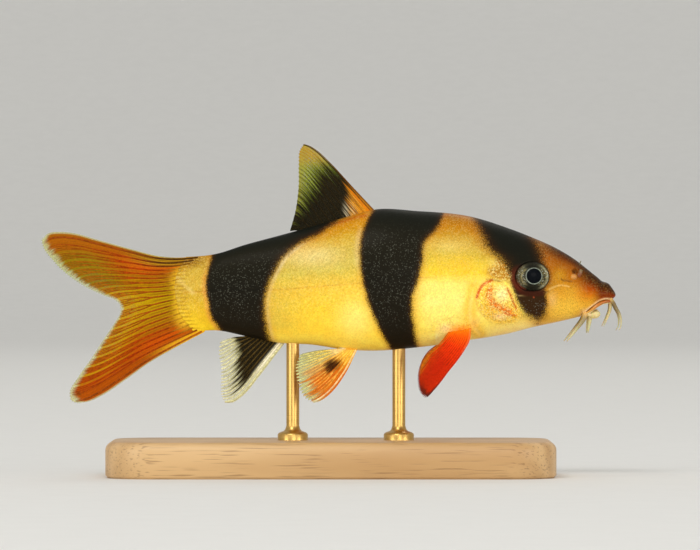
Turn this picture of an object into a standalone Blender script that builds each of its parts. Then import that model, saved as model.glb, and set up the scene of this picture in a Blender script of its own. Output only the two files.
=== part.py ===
"""A young clown loach as a life-size museum model on a small display stand.

The fish faces +X and its left side is +Y. The base stands on Z = 0, centred on the Z axis.
Sizes are in millimetres until a mesh is made. Heights on the fish are measured from its axis,
the level line through the middle of the tail stalk, and AXIS_HEIGHT lifts them over the floor.
"""

import math

import bpy
import bmesh
import numpy as np
from mathutils import Matrix, Vector

MM = 0.001

# Driving dimensions
AXIS_HEIGHT = 25.8
GAP = 0.3
BASE_LENGTH = 62.0
BASE_WIDTH = 30.0
BASE_HEIGHT = 5.0
BASE_CORNER = 7.0
BASE_BEVEL = 1.2
ROD_RADIUS = 0.9
ROD_PLACES = {"front": 9.4, "rear": -5.3}
ROD_END_BELOW_AXIS = 4.0
COLLAR_RADIUS = 2.1
COLLAR_HEIGHT = 1.3

# The body where it is named: place along X, back, belly and half width
BODY = {
    "fin flesh": (-23.0, 4.6, -6.6, 0.9),
    "tail fin root": (-20.0, 4.6, -6.0, 1.4),
    "tail stalk": (-16.0, 5.0, -5.6, 1.8),
    "anal fin end": (-12.0, 6.25, -6.35, 2.5),
    "anal fin front": (-7.0, 7.6, -7.35, 3.4),
    "dorsal fin end": (-3.0, 8.7, -7.55, 4.0),
    "pelvic fins": (2.5, 10.25, -8.3, 4.75),
    "dorsal fin front": (6.0, 11.15, -8.42, 5.05),
    "shoulder": (12.0, 10.95, -7.95, 5.3),
    "gill opening": (19.5, 10.3, -6.9, 5.2),
    "cheek": (24.5, 8.6, -6.05, 4.7),
    "eye": (28.0, 7.25, -5.15, 3.9),
    "brow": (31.5, 5.65, -4.4, 3.1),
    "nostril": (34.0, 4.1, -3.8, 2.5),
    "mouth corner": (35.4, 3.0, -3.4, 2.15),
    "upper lip": (37.0, 1.75, -2.2, 1.75),
    "snout pad": (38.4, 0.95, -1.6, 1.35),
    "snout tip": (39.45, 0.3, -1.5, 1.2),
}
WIDEST = 0.46
BACK_POWER = 1.9
BELLY_POWER = 2.35
SNOUT_ROUND = 1.7
SNOUT_TIP = BODY["snout tip"][0]
SNOUT_POINT_HEIGHT = -0.7
SECTORS = 36
BODY_REACH = 9.0

# Where the body is parted, as lines of (x, z) from above the back to below the belly
GILL_LINE = [(20.4, 13.0), (21.0, 7.0), (21.0, 3.0), (20.4, 1.0), (19.4, -0.8), (19.2, -3.0),
             (19.7, -4.8), (20.2, -10.0)]
STALK_LINE = [(-13.0, 9.0), (-13.7, 3.0), (-13.9, -1.0), (-13.6, -9.0)]
TAIL_ROOT = [(-19.3, 6.2), (-19.8, 4.6), (-20.8, 2.4), (-21.2, 0.2), (-21.1, -1.6), (-20.4, -3.8),
             (-18.9, -5.9), (-18.0, -7.2)]
GILL_COVER = [(17.0, 1.5), (23.2, 1.5), (24.3, 0.9), (25.5, -0.8), (26.0, -2.3), (26.2, -3.3),
              (25.4, -4.0), (23.6, -4.5), (21.6, -4.8), (17.0, -4.8)]
GILL_COVER_DEPTH = 2.6
LINE_POINTS = 14
COVER_POINTS = 26

EYE = (27.78, 1.83)
EYE_SIZE = (2.35, 1.5, 2.05)
EYE_SUNK = 0.75
EYE_RIM = (2.75, 2.45)
EYE_RIM_RADIUS = 0.34
NOSTRIL = (34.0, 2.4)
NOSTRIL_PIT = (0.38, 0.5, 0.3)
NOSTRIL_RIM = (0.6, 0.5)
NOSTRIL_RIM_RADIUS = 0.2
RIM_SUNK = 0.05
RIM_POINTS = 16

# Each lip from the mouth's corner to the middle of the snout, as (x, beside, z)
UPPER_LIP = [(35.1, 1.6, -2.75), (36.0, 1.55, -2.05), (37.1, 1.38, -1.5), (38.2, 1.05, -1.2),
             (38.85, 0.6, -1.1), (39.1, 0.0, -1.1)]
LOWER_LIP = [(34.9, 1.45, -2.95), (35.8, 1.3, -3.15), (36.6, 0.85, -3.1), (36.95, 0.0, -2.75)]
UPPER_LIP_RADII = (0.36, 0.3)
LOWER_LIP_RADII = (0.5, 0.42)
LIP_POINTS = 15

# Fins, seen from the side. The lead and trail run from the body to the fin's corners, and the
# edge joins the corners past the ray tips.
FINS = {
    "dorsal_fin": {
        "lead": [(6.0, 11.1), (3.1, 14.2), (-0.3, 17.85), (-1.8, 19.25), (-3.0, 20.0), (-3.8, 20.25)],
        "trail": [(-4.3, 8.2), (-5.0, 8.25), (-5.7, 8.15)],
        "edge": [(-3.8, 20.25), (-4.3, 19.5), (-4.5, 17.3), (-4.5, 14.8), (-4.96, 10.9), (-5.7, 8.15)],
        "sink": (0.0, -1.3), "rays": 10},
    "tail_fin_upper": {
        "lead": [(-19.8, 4.6), (-21.6, 4.5), (-24.1, 4.75), (-27.45, 5.6), (-32.5, 7.0), (-35.85, 7.9),
                 (-37.5, 8.05), (-39.2, 7.85), (-40.3, 7.0)],
        "trail": [(-21.2, -0.7), (-25.0, -1.45), (-29.15, -2.45)],
        "edge": [(-40.3, 7.0), (-40.05, 6.0), (-38.4, 3.8), (-35.0, 0.95), (-31.6, -0.75), (-30.0, -1.45),
                 (-29.15, -2.45)],
        "rays": 10},
    "tail_fin_lower": {
        "lead": [(-21.15, -1.0), (-25.0, -1.8), (-29.1, -2.8)],
        "trail": [(-18.9, -6.0), (-19.6, -6.9), (-21.6, -8.0), (-25.0, -9.95), (-28.3, -12.3),
                  (-31.65, -14.55), (-33.3, -15.35), (-35.0, -15.75)],
        "edge": [(-29.1, -2.8), (-30.0, -4.4), (-31.65, -6.95), (-33.3, -9.5), (-35.0, -11.9),
                 (-36.3, -14.5), (-36.1, -15.3), (-35.0, -15.75)],
        "rays": 10},
    "anal_fin": {
        "lead": [(-6.5, -7.5), (-7.9, -9.3), (-9.9, -11.9), (-12.4, -14.8), (-13.5, -15.55),
                 (-14.75, -15.7)],
        "trail": [(-12.0, -6.4), (-13.6, -6.55), (-15.4, -7.1)],
        "edge": [(-14.75, -15.7), (-15.2, -14.8), (-15.3, -12.8), (-15.3, -10.6), (-15.6, -8.6),
                 (-15.4, -7.1)],
        "sink": (0.3, 1.4), "rays": 8},
    "pelvic_fin": {
        "lead": [(3.6, -8.3), (1.9, -11.7), (-0.1, -14.3), (-1.1, -15.1), (-2.2, -15.65)],
        "trail": [(1.0, -8.2), (-1.6, -8.35), (-4.3, -8.9)],
        "edge": [(-2.2, -15.65), (-3.6, -14.9), (-4.7, -12.5), (-4.9, -10.6), (-4.3, -8.9)],
        "sink": (0.5, 1.5), "rays": 8, "beside": 1.5, "splay": 0.36, "inward": 0.5},
    "pectoral_fin": {
        "lead": [(19.35, -5.1), (19.15, -6.9), (18.4, -8.3), (16.2, -11.2), (14.9, -12.9), (13.4, -14.6)],
        "trail": [(16.3, -5.7), (14.9, -7.4), (13.4, -8.7), (12.7, -9.8)],
        "edge": [(13.4, -14.6), (12.9, -14.75), (12.5, -14.4), (12.1, -12.9), (12.2, -11.3), (12.7, -9.8)],
        "sink": (0.6, 1.5), "rays": 10, "beside": 3.5, "splay": 0.5, "inward": 1.6},
}
FIN_ROWS = 8
ROW_CROWDING = 1.15
FIN_SKIN = 0.26
FIN_EDGE_SKIN = 0.13
FIN_EDGE_SHARE = 0.7
FIN_ROOT_SWELL = 0.15
FLESH_SHARE = 0.22
RAY_RIDGE = 0.12
RAY_FADE = 0.6
EDGE_NOTCH = 0.02
TAIL_ROOT_POINTS = 60
LOBE_HEIGHTS = {"tail_fin_upper": (4.65, -0.75), "tail_fin_lower": (-0.95, -6.05)}

# Barbels, from the root to the tip, as (x, z), with how far the root and the tip stand beside the
# middle of the snout
BARBELS = {
    "rostral_outer": {"line": [(38.7, -1.2), (39.6, -2.5), (40.0, -3.7), (40.25, -5.0), (39.9, -5.6)],
                      "root_beside": 0.65, "tip_beside": 1.9, "radius": 0.28},
    "rostral_inner": {"line": [(38.5, -1.0), (38.5, -2.6), (38.1, -4.0), (37.7, -5.0)],
                      "root_beside": 0.35, "tip_beside": 0.75, "radius": 0.28},
    "maxillary": {"line": [(34.9, -2.9), (34.3, -5.0), (33.4, -6.1), (32.5, -7.1)],
                  "root_beside": 1.4, "tip_beside": 2.6, "radius": 0.3},
    "mandibular": {"line": [(35.6, -3.0), (35.6, -4.9), (35.5, -6.0)],
                   "root_beside": 0.7, "tip_beside": 1.0, "radius": 0.32},
}
BARBEL_TIP = 0.35
BARBEL_POINTS = 9
LEFT_BARBEL_SWING = 0.12

WELD = 0.002
CREASE = math.radians(40)

COLOURS = {
    "head": (0.60, 0.33, 0.06, 1.0),
    "gill_cover": (0.80, 0.58, 0.20, 1.0),
    "torso": (0.83, 0.60, 0.14, 1.0),
    "tail_stalk": (0.72, 0.50, 0.10, 1.0),
    "eye": (0.03, 0.04, 0.03, 1.0),
    "dorsal_fin": (0.04, 0.03, 0.02, 1.0),
    "tail_fin": (0.50, 0.12, 0.01, 1.0),
    "anal_fin": (0.05, 0.04, 0.02, 1.0),
    "pelvic_fin": (0.70, 0.25, 0.02, 1.0),
    "pectoral_fin": (0.62, 0.05, 0.01, 1.0),
    "barbel": (0.72, 0.62, 0.35, 1.0),
    "wood": (0.56, 0.38, 0.19, 1.0),
    "brass": (0.70, 0.50, 0.20, 1.0),
}


def empty_the_scene():
    for thing in list(bpy.data.objects):
        bpy.data.objects.remove(thing, do_unlink=True)


def new_collection(name):
    collection = bpy.data.collections.new(name)
    bpy.context.scene.collection.children.link(collection)
    return collection


empty_the_scene()
PARTS = new_collection("clown_loach")
CUTTERS = new_collection("cutters")


def finish_of(name):
    """The material of that name, made the first time it is asked for."""
    found = bpy.data.materials.get(name)
    if found:
        return found
    material = bpy.data.materials.new(name)
    material.use_nodes = True
    shader = material.node_tree.nodes["Principled BSDF"]
    shader.inputs["Base Color"].default_value = COLOURS[name]
    shader.inputs["Metallic"].default_value = 1.0 if name == "brass" else 0.0
    shader.inputs["Roughness"].default_value = 0.12 if name == "eye" else 0.38
    return material


def add_mesh(name, mesh_data, collection):
    mesh = bpy.data.meshes.new(name)
    mesh_data.to_mesh(mesh)
    mesh_data.free()
    thing = bpy.data.objects.new(name, mesh)
    collection.objects.link(thing)
    return thing


def make_cutter(thing):
    """Puts an object among the hidden ones that only cut others."""
    for owner in list(thing.users_collection):
        owner.objects.unlink(thing)
    CUTTERS.objects.link(thing)
    thing.hide_render = True
    thing.display_type = "WIRE"
    return thing


def smooth(at, knots, values):
    """A curve through the values, whose slope at each knot comes from its neighbours."""
    knots = np.asarray(knots, dtype=float)
    values = np.asarray(values, dtype=float)
    slopes = np.gradient(values, knots)
    i = np.clip(np.searchsorted(knots, at) - 1, 0, len(knots) - 2)
    step = knots[i + 1] - knots[i]
    t = (at - knots[i]) / step
    start = values[i] * (1 + 2 * t) * (1 - t) ** 2 + slopes[i] * step * t * (1 - t) ** 2
    end = values[i + 1] * t * t * (3 - 2 * t) - slopes[i + 1] * step * t * t * (1 - t)
    return start + end


def along(points, shares):
    """Points on the smooth line through the given ones, at these shares of its length."""
    points = np.asarray(points, dtype=float)
    chords = np.linalg.norm(np.diff(points, axis=0), axis=1)
    knots = np.concatenate([[0.0], np.cumsum(chords)])
    places = np.asarray(shares, dtype=float) * knots[-1]
    return np.stack([smooth(places, knots, points[:, k]) for k in range(points.shape[1])], axis=-1)


def body_sizes(x):
    """Back, belly and half width at a place along the body."""
    stations = np.array(list(BODY.values()))
    back, belly, half = [float(smooth(x, stations[:, 0], stations[:, k])) for k in (1, 2, 3)]
    past = (x - (SNOUT_TIP - SNOUT_ROUND)) / SNOUT_ROUND
    shrink = math.sqrt(max(0.0, 1.0 - past * past)) if past > 0 else 1.0
    middle = (back + belly) / 2 - 0.1
    return middle + (back - middle) * shrink, middle + (belly - middle) * shrink, half * shrink


def body_power(upper):
    """The back is arched to a narrow top, and the belly is flatter."""
    return BACK_POWER if upper else BELLY_POWER


def body_section(x, grow):
    """One ring round the body, a closed curve that is fullest a little below mid-height."""
    back, belly, half = body_sizes(x)
    level = belly + WIDEST * (back - belly)
    ring = []
    for k in range(SECTORS):
        turn = 2 * math.pi * k / SECTORS
        power = 2 / body_power(math.sin(turn) >= 0)
        reach = back - level if math.sin(turn) >= 0 else level - belly
        side = math.copysign(abs(math.cos(turn)) ** power, math.cos(turn))
        height = math.copysign(abs(math.sin(turn)) ** power, math.sin(turn))
        ring.append((x, side * (half + grow), level + height * (reach + grow)))
    return ring


def body_side(x, z):
    """Half width of the body at a place along it and a height on it."""
    back, belly, half = body_sizes(x)
    level = belly + WIDEST * (back - belly)
    reach = back - level if z >= level else level - belly
    share = min(1.0, abs(z - level) / max(reach, 0.01))
    power = body_power(z >= level)
    return half * (1 - share ** power) ** (1 / power)


def ring_places():
    """Rings are closer on the head than on the trunk, and closest round the snout."""
    trunk = np.arange(-23.0, 19.0, 1.5)
    head = np.arange(19.0, 37.4, 0.8)
    bend = np.linspace(0.0, math.pi / 2, 8)[:-1]
    snout = SNOUT_TIP - SNOUT_ROUND + SNOUT_ROUND * np.sin(bend)
    return np.concatenate([trunk, head, snout])


def body(name, grow):
    """The whole body as one loft, larger all over by grow."""
    mesh = bmesh.new()
    rings = []
    for x in ring_places():
        shift = grow * max(0.0, x - SNOUT_TIP + SNOUT_ROUND) / SNOUT_ROUND
        points = [Vector((px + shift, py, pz + AXIS_HEIGHT)) * MM for px, py, pz in body_section(x, grow)]
        rings.append([mesh.verts.new(point) for point in points])
    for first, second in zip(rings, rings[1:]):
        for k in range(SECTORS):
            n = (k + 1) % SECTORS
            mesh.faces.new((first[k], first[n], second[n], second[k]))
    mesh.faces.new(rings[0])
    tip = Vector((SNOUT_TIP + grow, 0.0, SNOUT_POINT_HEIGHT + AXIS_HEIGHT)) * MM
    point = mesh.verts.new(tip)
    for k in range(SECTORS):
        mesh.faces.new((rings[-1][k], rings[-1][(k + 1) % SECTORS], point))
    bmesh.ops.recalc_face_normals(mesh, faces=mesh.faces)
    bmesh.ops.triangulate(mesh, faces=mesh.faces)
    return add_mesh(name, mesh, PARTS)


def prism(name, outline, low, high):
    """A flat outline in X and Z, pulled through from y low to y high."""
    mesh = bmesh.new()
    corners = [mesh.verts.new(Vector((x, low, z + AXIS_HEIGHT)) * MM) for x, z in outline]
    face = mesh.faces.new(corners)
    pulled = bmesh.ops.extrude_face_region(mesh, geom=[face])
    moved = [part for part in pulled["geom"] if isinstance(part, bmesh.types.BMVert)]
    bmesh.ops.translate(mesh, verts=moved, vec=Vector((0.0, (high - low) * MM, 0.0)))
    bmesh.ops.recalc_face_normals(mesh, faces=mesh.faces)
    return make_cutter(add_mesh(name, mesh, PARTS))


def settle(thing):
    """Applies the modifiers and keeps only the largest closed surface."""
    depsgraph = bpy.context.evaluated_depsgraph_get()
    made = bpy.data.meshes.new_from_object(thing.evaluated_get(depsgraph))
    thing.modifiers.clear()
    thing.data = made
    mesh = bmesh.new()
    mesh.from_mesh(made)
    bmesh.ops.remove_doubles(mesh, verts=mesh.verts, dist=WELD * MM)
    bmesh.ops.dissolve_degenerate(mesh, edges=mesh.edges, dist=WELD * MM)
    bmesh.ops.triangulate(mesh, faces=mesh.faces)
    unseen = set(mesh.faces)
    surfaces = []
    while unseen:
        surface = set()
        waiting = [unseen.pop()]
        while waiting:
            face = waiting.pop()
            surface.add(face)
            for edge in face.edges:
                for other in edge.link_faces:
                    if other in unseen:
                        unseen.discard(other)
                        waiting.append(other)
        surfaces.append(surface)
    largest = max(surfaces, key=lambda surface: sum(face.calc_area() for face in surface))
    scraps = [face for face in mesh.faces if face not in largest]
    bmesh.ops.delete(mesh, geom=scraps, context="FACES")
    mesh.to_mesh(made)
    mesh.free()
    return thing


def combine(thing, others, operation):
    """Cuts the others from a solid, joins them to it or keeps what they share with it."""
    for other in others:
        step = thing.modifiers.new(operation.lower(), "BOOLEAN")
        step.operation = operation
        step.solver = "EXACT"
        step.object = other
    return settle(thing)


def copy_of(thing, name):
    twin = thing.copy()
    twin.data = thing.data.copy()
    twin.name = name
    PARTS.objects.link(twin)
    return twin


def dress(thing, name, finish):
    """Names a node, gives it its material and shades its round faces smooth."""
    thing.name = name
    thing.data.name = name
    thing.data.materials.clear()
    thing.data.materials.append(finish_of(finish))
    thing.data.shade_smooth()
    thing.data.set_sharp_from_angle(angle=CREASE)
    return thing


def shifted(points, shift):
    return [(x + shift, z) for x, z in points]


def region(name, rear_line, front_line):
    """A slab that holds the body between two of its parting lines."""
    rear = along(rear_line, np.linspace(0, 1, LINE_POINTS))
    front = along(front_line, np.linspace(0, 1, LINE_POINTS))
    return prism(name, [*rear, *front[::-1]], -BODY_REACH, BODY_REACH)


def tube(name, points, radii, hoop=False):
    """A bent round rod through the points, as a closed mesh. A hoop joins its last to its first."""
    curve = bpy.data.curves.new(name, "CURVE")
    curve.dimensions = "3D"
    curve.bevel_depth = MM
    curve.bevel_resolution = 1
    curve.use_fill_caps = not hoop
    spline = curve.splines.new("POLY")
    spline.points.add(len(points) - 1)
    spline.use_cyclic_u = hoop
    for knot, (x, y, z), radius in zip(spline.points, points, radii):
        knot.co = (x * MM, y * MM, (z + AXIS_HEIGHT) * MM, 1.0)
        knot.radius = radius
    rod = bpy.data.objects.new(name, curve)
    PARTS.objects.link(rod)
    depsgraph = bpy.context.evaluated_depsgraph_get()
    made = bpy.data.meshes.new_from_object(rod.evaluated_get(depsgraph))
    mesh = bmesh.new()
    mesh.from_mesh(made)
    bmesh.ops.remove_doubles(mesh, verts=mesh.verts, dist=WELD * MM)
    bmesh.ops.recalc_face_normals(mesh, faces=mesh.faces)
    bpy.data.objects.remove(rod, do_unlink=True)
    return add_mesh(name, mesh, PARTS)


def ball(name, centre, size, grow):
    """An egg shape with half sizes along X, Y and Z."""
    mesh = bmesh.new()
    bmesh.ops.create_uvsphere(mesh, u_segments=20, v_segments=12, radius=1.0)
    spread = Matrix.Diagonal([(half + grow) * MM for half in size])
    bmesh.ops.transform(mesh, matrix=spread.to_4x4(), verts=mesh.verts)
    x, y, z = centre
    bmesh.ops.translate(mesh, verts=mesh.verts, vec=Vector((x, y, z + AXIS_HEIGHT)) * MM)
    return add_mesh(name, mesh, PARTS)


def rim(name, place, side, size, thickness):
    """A closed ring of flesh that lies on the head's side, round an eye or a nostril."""
    points = []
    for k in range(RIM_POINTS):
        turn = 2 * math.pi * k / RIM_POINTS
        x = place[0] + size[0] * math.cos(turn)
        z = place[1] + size[1] * math.sin(turn)
        points.append((x, side * (body_side(x, z) - RIM_SUNK), z))
    return tube(name, points, [thickness] * RIM_POINTS, hoop=True)


def lip(name, line, radii, grow):
    """A lip runs from one mouth corner round the front of the mouth, where it is thickest."""
    middle_radius, corner_radius = (radius + grow for radius in radii)
    right = [(x, -beside, z) for x, beside, z in line]
    path = along(right + line[-2::-1], np.linspace(0, 1, LIP_POINTS))
    ends = np.abs(np.linspace(-1, 1, LIP_POINTS))
    return tube(name, path, middle_radius + (corner_radius - middle_radius) * ends)


def both_lips(grow):
    return [
        lip("upper_lip", UPPER_LIP, UPPER_LIP_RADII, grow),
        lip("lower_lip", LOWER_LIP, LOWER_LIP_RADII, grow),
    ]


def rims():
    """Folds of skin that stand round the eyes and the nostrils."""
    made = []
    for side in (-1, 1):
        made.append(rim("eye_rim", EYE, side, EYE_RIM, EYE_RIM_RADIUS))
        made.append(rim("nostril_rim", NOSTRIL, side, NOSTRIL_RIM, NOSTRIL_RIM_RADIUS))
    return made


def eye(name, side, grow):
    x, z = EYE
    return ball(name, (x, side * (body_side(x, z) - EYE_SUNK), z), EYE_SIZE, grow)


def fin_grid(fin):
    """Points of a fin's middle sheet, blended from its four border lines, by row and column."""
    columns = 2 * fin["rays"] - 1
    rows = (np.arange(FIN_ROWS + 1) / FIN_ROWS) ** ROW_CROWDING
    across = np.linspace(0, 1, columns)
    root = along([fin["lead"][0], fin["trail"][0]], across) if "sink" in fin else along(fin["root"], across)
    u, v = rows[:, None, None], across[None, :, None]
    sides = (1 - v) * along(fin["lead"], rows)[:, None] + v * along(fin["trail"], rows)[:, None]
    ends = (1 - u) * root[None] + u * along(fin["edge"], across)[None]
    grid = sides + ends - (1 - u) * sides[:1] - u * sides[-1:]
    notch = EDGE_NOTCH * (np.arange(columns) % 2)
    grid[-1] += (grid[0] - grid[-1]) * notch[:, None]
    return grid, rows


def fin_sheet(grid, fin, side):
    """Lifts the side view into space: paired fins lean out from the belly as they go down."""
    distance = np.linalg.norm(grid - grid[0], axis=2)
    beside = fin.get("beside", 0.0) + fin.get("splay", 0.0) * distance
    return np.stack([grid[:, :, 0], side * beside, grid[:, :, 1]], axis=-1)


def fin_mesh(name, fin, side=1):
    """A closed fin: two faces alike, each with its rays as ridges, and a rim that joins them."""
    grid, rows = fin_grid(fin)
    sheet = fin_sheet(grid, fin, side)
    columns = sheet.shape[1]
    thinning = np.clip((rows - FIN_EDGE_SHARE) / (1 - FIN_EDGE_SHARE), 0, 1)
    skin = FIN_SKIN + (FIN_EDGE_SKIN - FIN_SKIN) * thinning
    ridge = RAY_RIDGE * (1 - RAY_FADE * rows)
    half = skin[:, None] + ridge[:, None] * (1 - np.arange(columns) % 2)
    if "sink" in fin:
        x, z = fin["sink"]
        inner = sheet[0] + np.array([x, -side * fin.get("inward", 0.0), z])
        sheet = np.concatenate([inner[None], sheet])
        half = np.concatenate([half[:1] + FIN_ROOT_SWELL, half])
    else:
        flesh = np.array([body_side(x, z) for x, z in grid[0]])
        blend = np.clip(1 - rows / FLESH_SHARE, 0, 1) ** 1.5
        half = np.maximum(half, flesh[None] * blend[:, None])
    normal = np.cross(np.gradient(sheet, axis=0), np.gradient(sheet, axis=1))
    normal /= np.linalg.norm(normal, axis=2, keepdims=True)
    mesh = bmesh.new()
    faces = []
    for way in (1, -1):
        points = (sheet + way * normal * half[:, :, None] + np.array([0, 0, AXIS_HEIGHT])) * MM
        faces.append([[mesh.verts.new(point) for point in row] for row in points])
    last = sheet.shape[0] - 1
    for layer in faces:
        for i in range(last):
            for j in range(columns - 1):
                a, b = layer[i][j], layer[i][j + 1]
                c, d = layer[i + 1][j + 1], layer[i + 1][j]
                mesh.faces.new((a, b, c))
                mesh.faces.new((a, c, d))
    top, under = faces
    rim = [(0, j) for j in range(columns)] + [(i, columns - 1) for i in range(1, last + 1)]
    rim += [(last, j) for j in range(columns - 2, -1, -1)] + [(i, 0) for i in range(last - 1, 0, -1)]
    for (i, j), (k, n) in zip(rim, rim[1:] + rim[:1]):
        mesh.faces.new((top[i][j], top[k][n], under[k][n], under[i][j]))
    bmesh.ops.triangulate(mesh, faces=[face for face in mesh.faces if len(face.verts) > 3])
    bmesh.ops.recalc_face_normals(mesh, faces=mesh.faces)
    return add_mesh(name, mesh, PARTS)


def barbel(name, spec, side):
    """A feeler tapers from its root to a blunt tip."""
    share = np.linspace(0, 1, BARBEL_POINTS)
    line = along(spec["line"], share)
    if side > 0:
        line[:, 0] += LEFT_BARBEL_SWING * share * (line[-1, 1] - line[0, 1])
    beside = spec["root_beside"] + (spec["tip_beside"] - spec["root_beside"]) * share
    taper = (1 + (BARBEL_TIP - 1) * share) * spec["radius"]
    points = [(x, side * y, z) for (x, z), y in zip(line, beside)]
    return tube(name, points, taper)


def rod(name, x):
    """A turned rod with a collar at its foot, long enough to reach into the body."""
    foot = BASE_HEIGHT + GAP
    top = AXIS_HEIGHT - ROD_END_BELOW_AXIS
    shoulder = (ROD_RADIUS + COLLAR_RADIUS) / 2
    profile = [(0.0, top), (ROD_RADIUS, top), (ROD_RADIUS, foot + COLLAR_HEIGHT),
               (shoulder, foot + 0.85 * COLLAR_HEIGHT), (COLLAR_RADIUS, foot + 0.5 * COLLAR_HEIGHT),
               (COLLAR_RADIUS, foot), (0.0, foot)]
    mesh = bmesh.new()
    knots = [mesh.verts.new((r * MM, 0.0, z * MM)) for r, z in profile]
    for first, second in zip(knots, knots[1:]):
        mesh.edges.new((first, second))
    thing = add_mesh(name, mesh, PARTS)
    turn = thing.modifiers.new("turn", "SCREW")
    turn.steps = 20
    turn.render_steps = 20
    turn.use_merge_vertices = True
    turn.merge_threshold = 0.01 * MM
    settle(thing)
    thing.data.transform(Matrix.Translation((x * MM, 0.0, 0.0)))
    return thing


def base(name):
    """A flat board with round corners and a softened upper edge."""
    mesh = bmesh.new()
    bmesh.ops.create_cube(mesh, size=1.0)
    spread = Matrix.Diagonal((BASE_LENGTH * MM, BASE_WIDTH * MM, BASE_HEIGHT * MM))
    bmesh.ops.transform(mesh, matrix=spread.to_4x4(), verts=mesh.verts)
    bmesh.ops.translate(mesh, verts=mesh.verts, vec=(0.0, 0.0, BASE_HEIGHT * MM / 2))
    half_height = BASE_HEIGHT * MM / 2
    upright = [edge for edge in mesh.edges if abs(edge.verts[0].co.z - edge.verts[1].co.z) > half_height]
    bmesh.ops.bevel(mesh, geom=upright, offset=BASE_CORNER * MM, segments=7, affect="EDGES", profile=0.5)
    upper = [edge for edge in mesh.edges if min(corner.co.z for corner in edge.verts) > half_height]
    bmesh.ops.bevel(mesh, geom=upper, offset=BASE_BEVEL * MM, segments=3, affect="EDGES", profile=0.5)
    return add_mesh(name, mesh, PARTS)


half_gap = GAP / 2
whole = body("whole", 0.0)
clear = make_cutter(body("clear", GAP))
head_region = region("head_region", shifted(GILL_LINE, half_gap), [(45.0, 13.0), (45.0, -10.0)])
torso_region = region("torso_region", shifted(STALK_LINE, half_gap), shifted(GILL_LINE, -half_gap))
stalk_region = region("stalk_region", shifted(TAIL_ROOT, half_gap), shifted(STALK_LINE, -half_gap))


def make_trunk():
    dress(combine(copy_of(whole, "torso"), [torso_region], "INTERSECT"), "torso", "torso")
    dress(combine(copy_of(whole, "stalk"), [stalk_region], "INTERSECT"), "tail_stalk", "tail_stalk")


def make_head():
    """The head is fused with its lips and rims, then opened for the eyes and gill covers."""
    front = combine(copy_of(whole, "front"), [head_region], "INTERSECT")
    head = copy_of(front, "head")
    outline = along(GILL_COVER, np.linspace(0, 1, COVER_POINTS))
    middle = outline.mean(axis=0)
    spread = outline - middle
    wider = outline + spread / np.linalg.norm(spread, axis=1, keepdims=True) * GAP
    forms = both_lips(0.0) + rims()
    combine(head, forms, "UNION")
    for form in forms:
        bpy.data.objects.remove(form, do_unlink=True)
    for side, word in ((-1, "right"), (1, "left")):
        inner = side * (BODY["gill opening"][3] - GILL_COVER_DEPTH)
        plate = prism("plate", outline, *sorted((inner, side * BODY_REACH)))
        recess = prism("recess", wider, *sorted((inner - side * GAP, side * BODY_REACH)))
        socket = make_cutter(eye("socket", side, GAP))
        x, z = NOSTRIL
        pit = make_cutter(ball("pit", (x, side * body_side(x, z), z), NOSTRIL_PIT, 0.0))
        combine(head, [socket, recess, pit], "DIFFERENCE")
        cover = combine(copy_of(front, "cover"), [plate], "INTERSECT")
        dress(cover, "gill_cover_" + word, "gill_cover")
        dress(eye("eye", side, 0.0), "eye_" + word, "eye")
    dress(head, "head", "head")
    bpy.data.objects.remove(front, do_unlink=True)


def lobe_root(name):
    """The root of a tail lobe follows the end of the tail stalk between two heights."""
    line = along(shifted(TAIL_ROOT, -half_gap), np.linspace(0, 1, TAIL_ROOT_POINTS))
    high, low = LOBE_HEIGHTS[name]
    return line[(line[:, 1] <= high) & (line[:, 1] >= low)]


def make_fins():
    for name, fin in FINS.items():
        if name in LOBE_HEIGHTS:
            root = lobe_root(name)
            lead, trail = [root[0], *fin["lead"][1:]], [root[-1], *fin["trail"][1:]]
            lobe = {**fin, "root": root, "lead": lead, "trail": trail}
            dress(fin_mesh(name, lobe), name, "tail_fin")
        elif "splay" in fin:
            for side, word in ((-1, "right"), (1, "left")):
                leaf = combine(fin_mesh(name, fin, side), [clear], "DIFFERENCE")
                dress(leaf, name + "_" + word, name)
        else:
            dress(combine(fin_mesh(name, fin), [clear], "DIFFERENCE"), name, name)


def make_barbels():
    lips = [make_cutter(form) for form in both_lips(GAP)]
    for name, spec in BARBELS.items():
        for side, word in ((-1, "right"), (1, "left")):
            feeler = combine(barbel(name, spec, side), [clear, *lips], "DIFFERENCE")
            dress(feeler, "barbel_" + name + "_" + word, "barbel")


def make_stand():
    for word, x in ROD_PLACES.items():
        dress(combine(rod("rod", x), [clear], "DIFFERENCE"), "stand_rod_" + word, "brass")
    dress(base("base"), "stand_base", "wood")


make_trunk()
make_head()
make_fins()
make_barbels()
make_stand()
bpy.data.objects.remove(whole, do_unlink=True)
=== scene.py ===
"""The looks of a young clown loach on its display stand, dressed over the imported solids.

The fish faces +X and its left side is +Y. Sizes are in millimetres until a mesh is made, and
heights on the fish are measured from its axis, the level line through the tail stalk.
"""

import math

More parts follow.
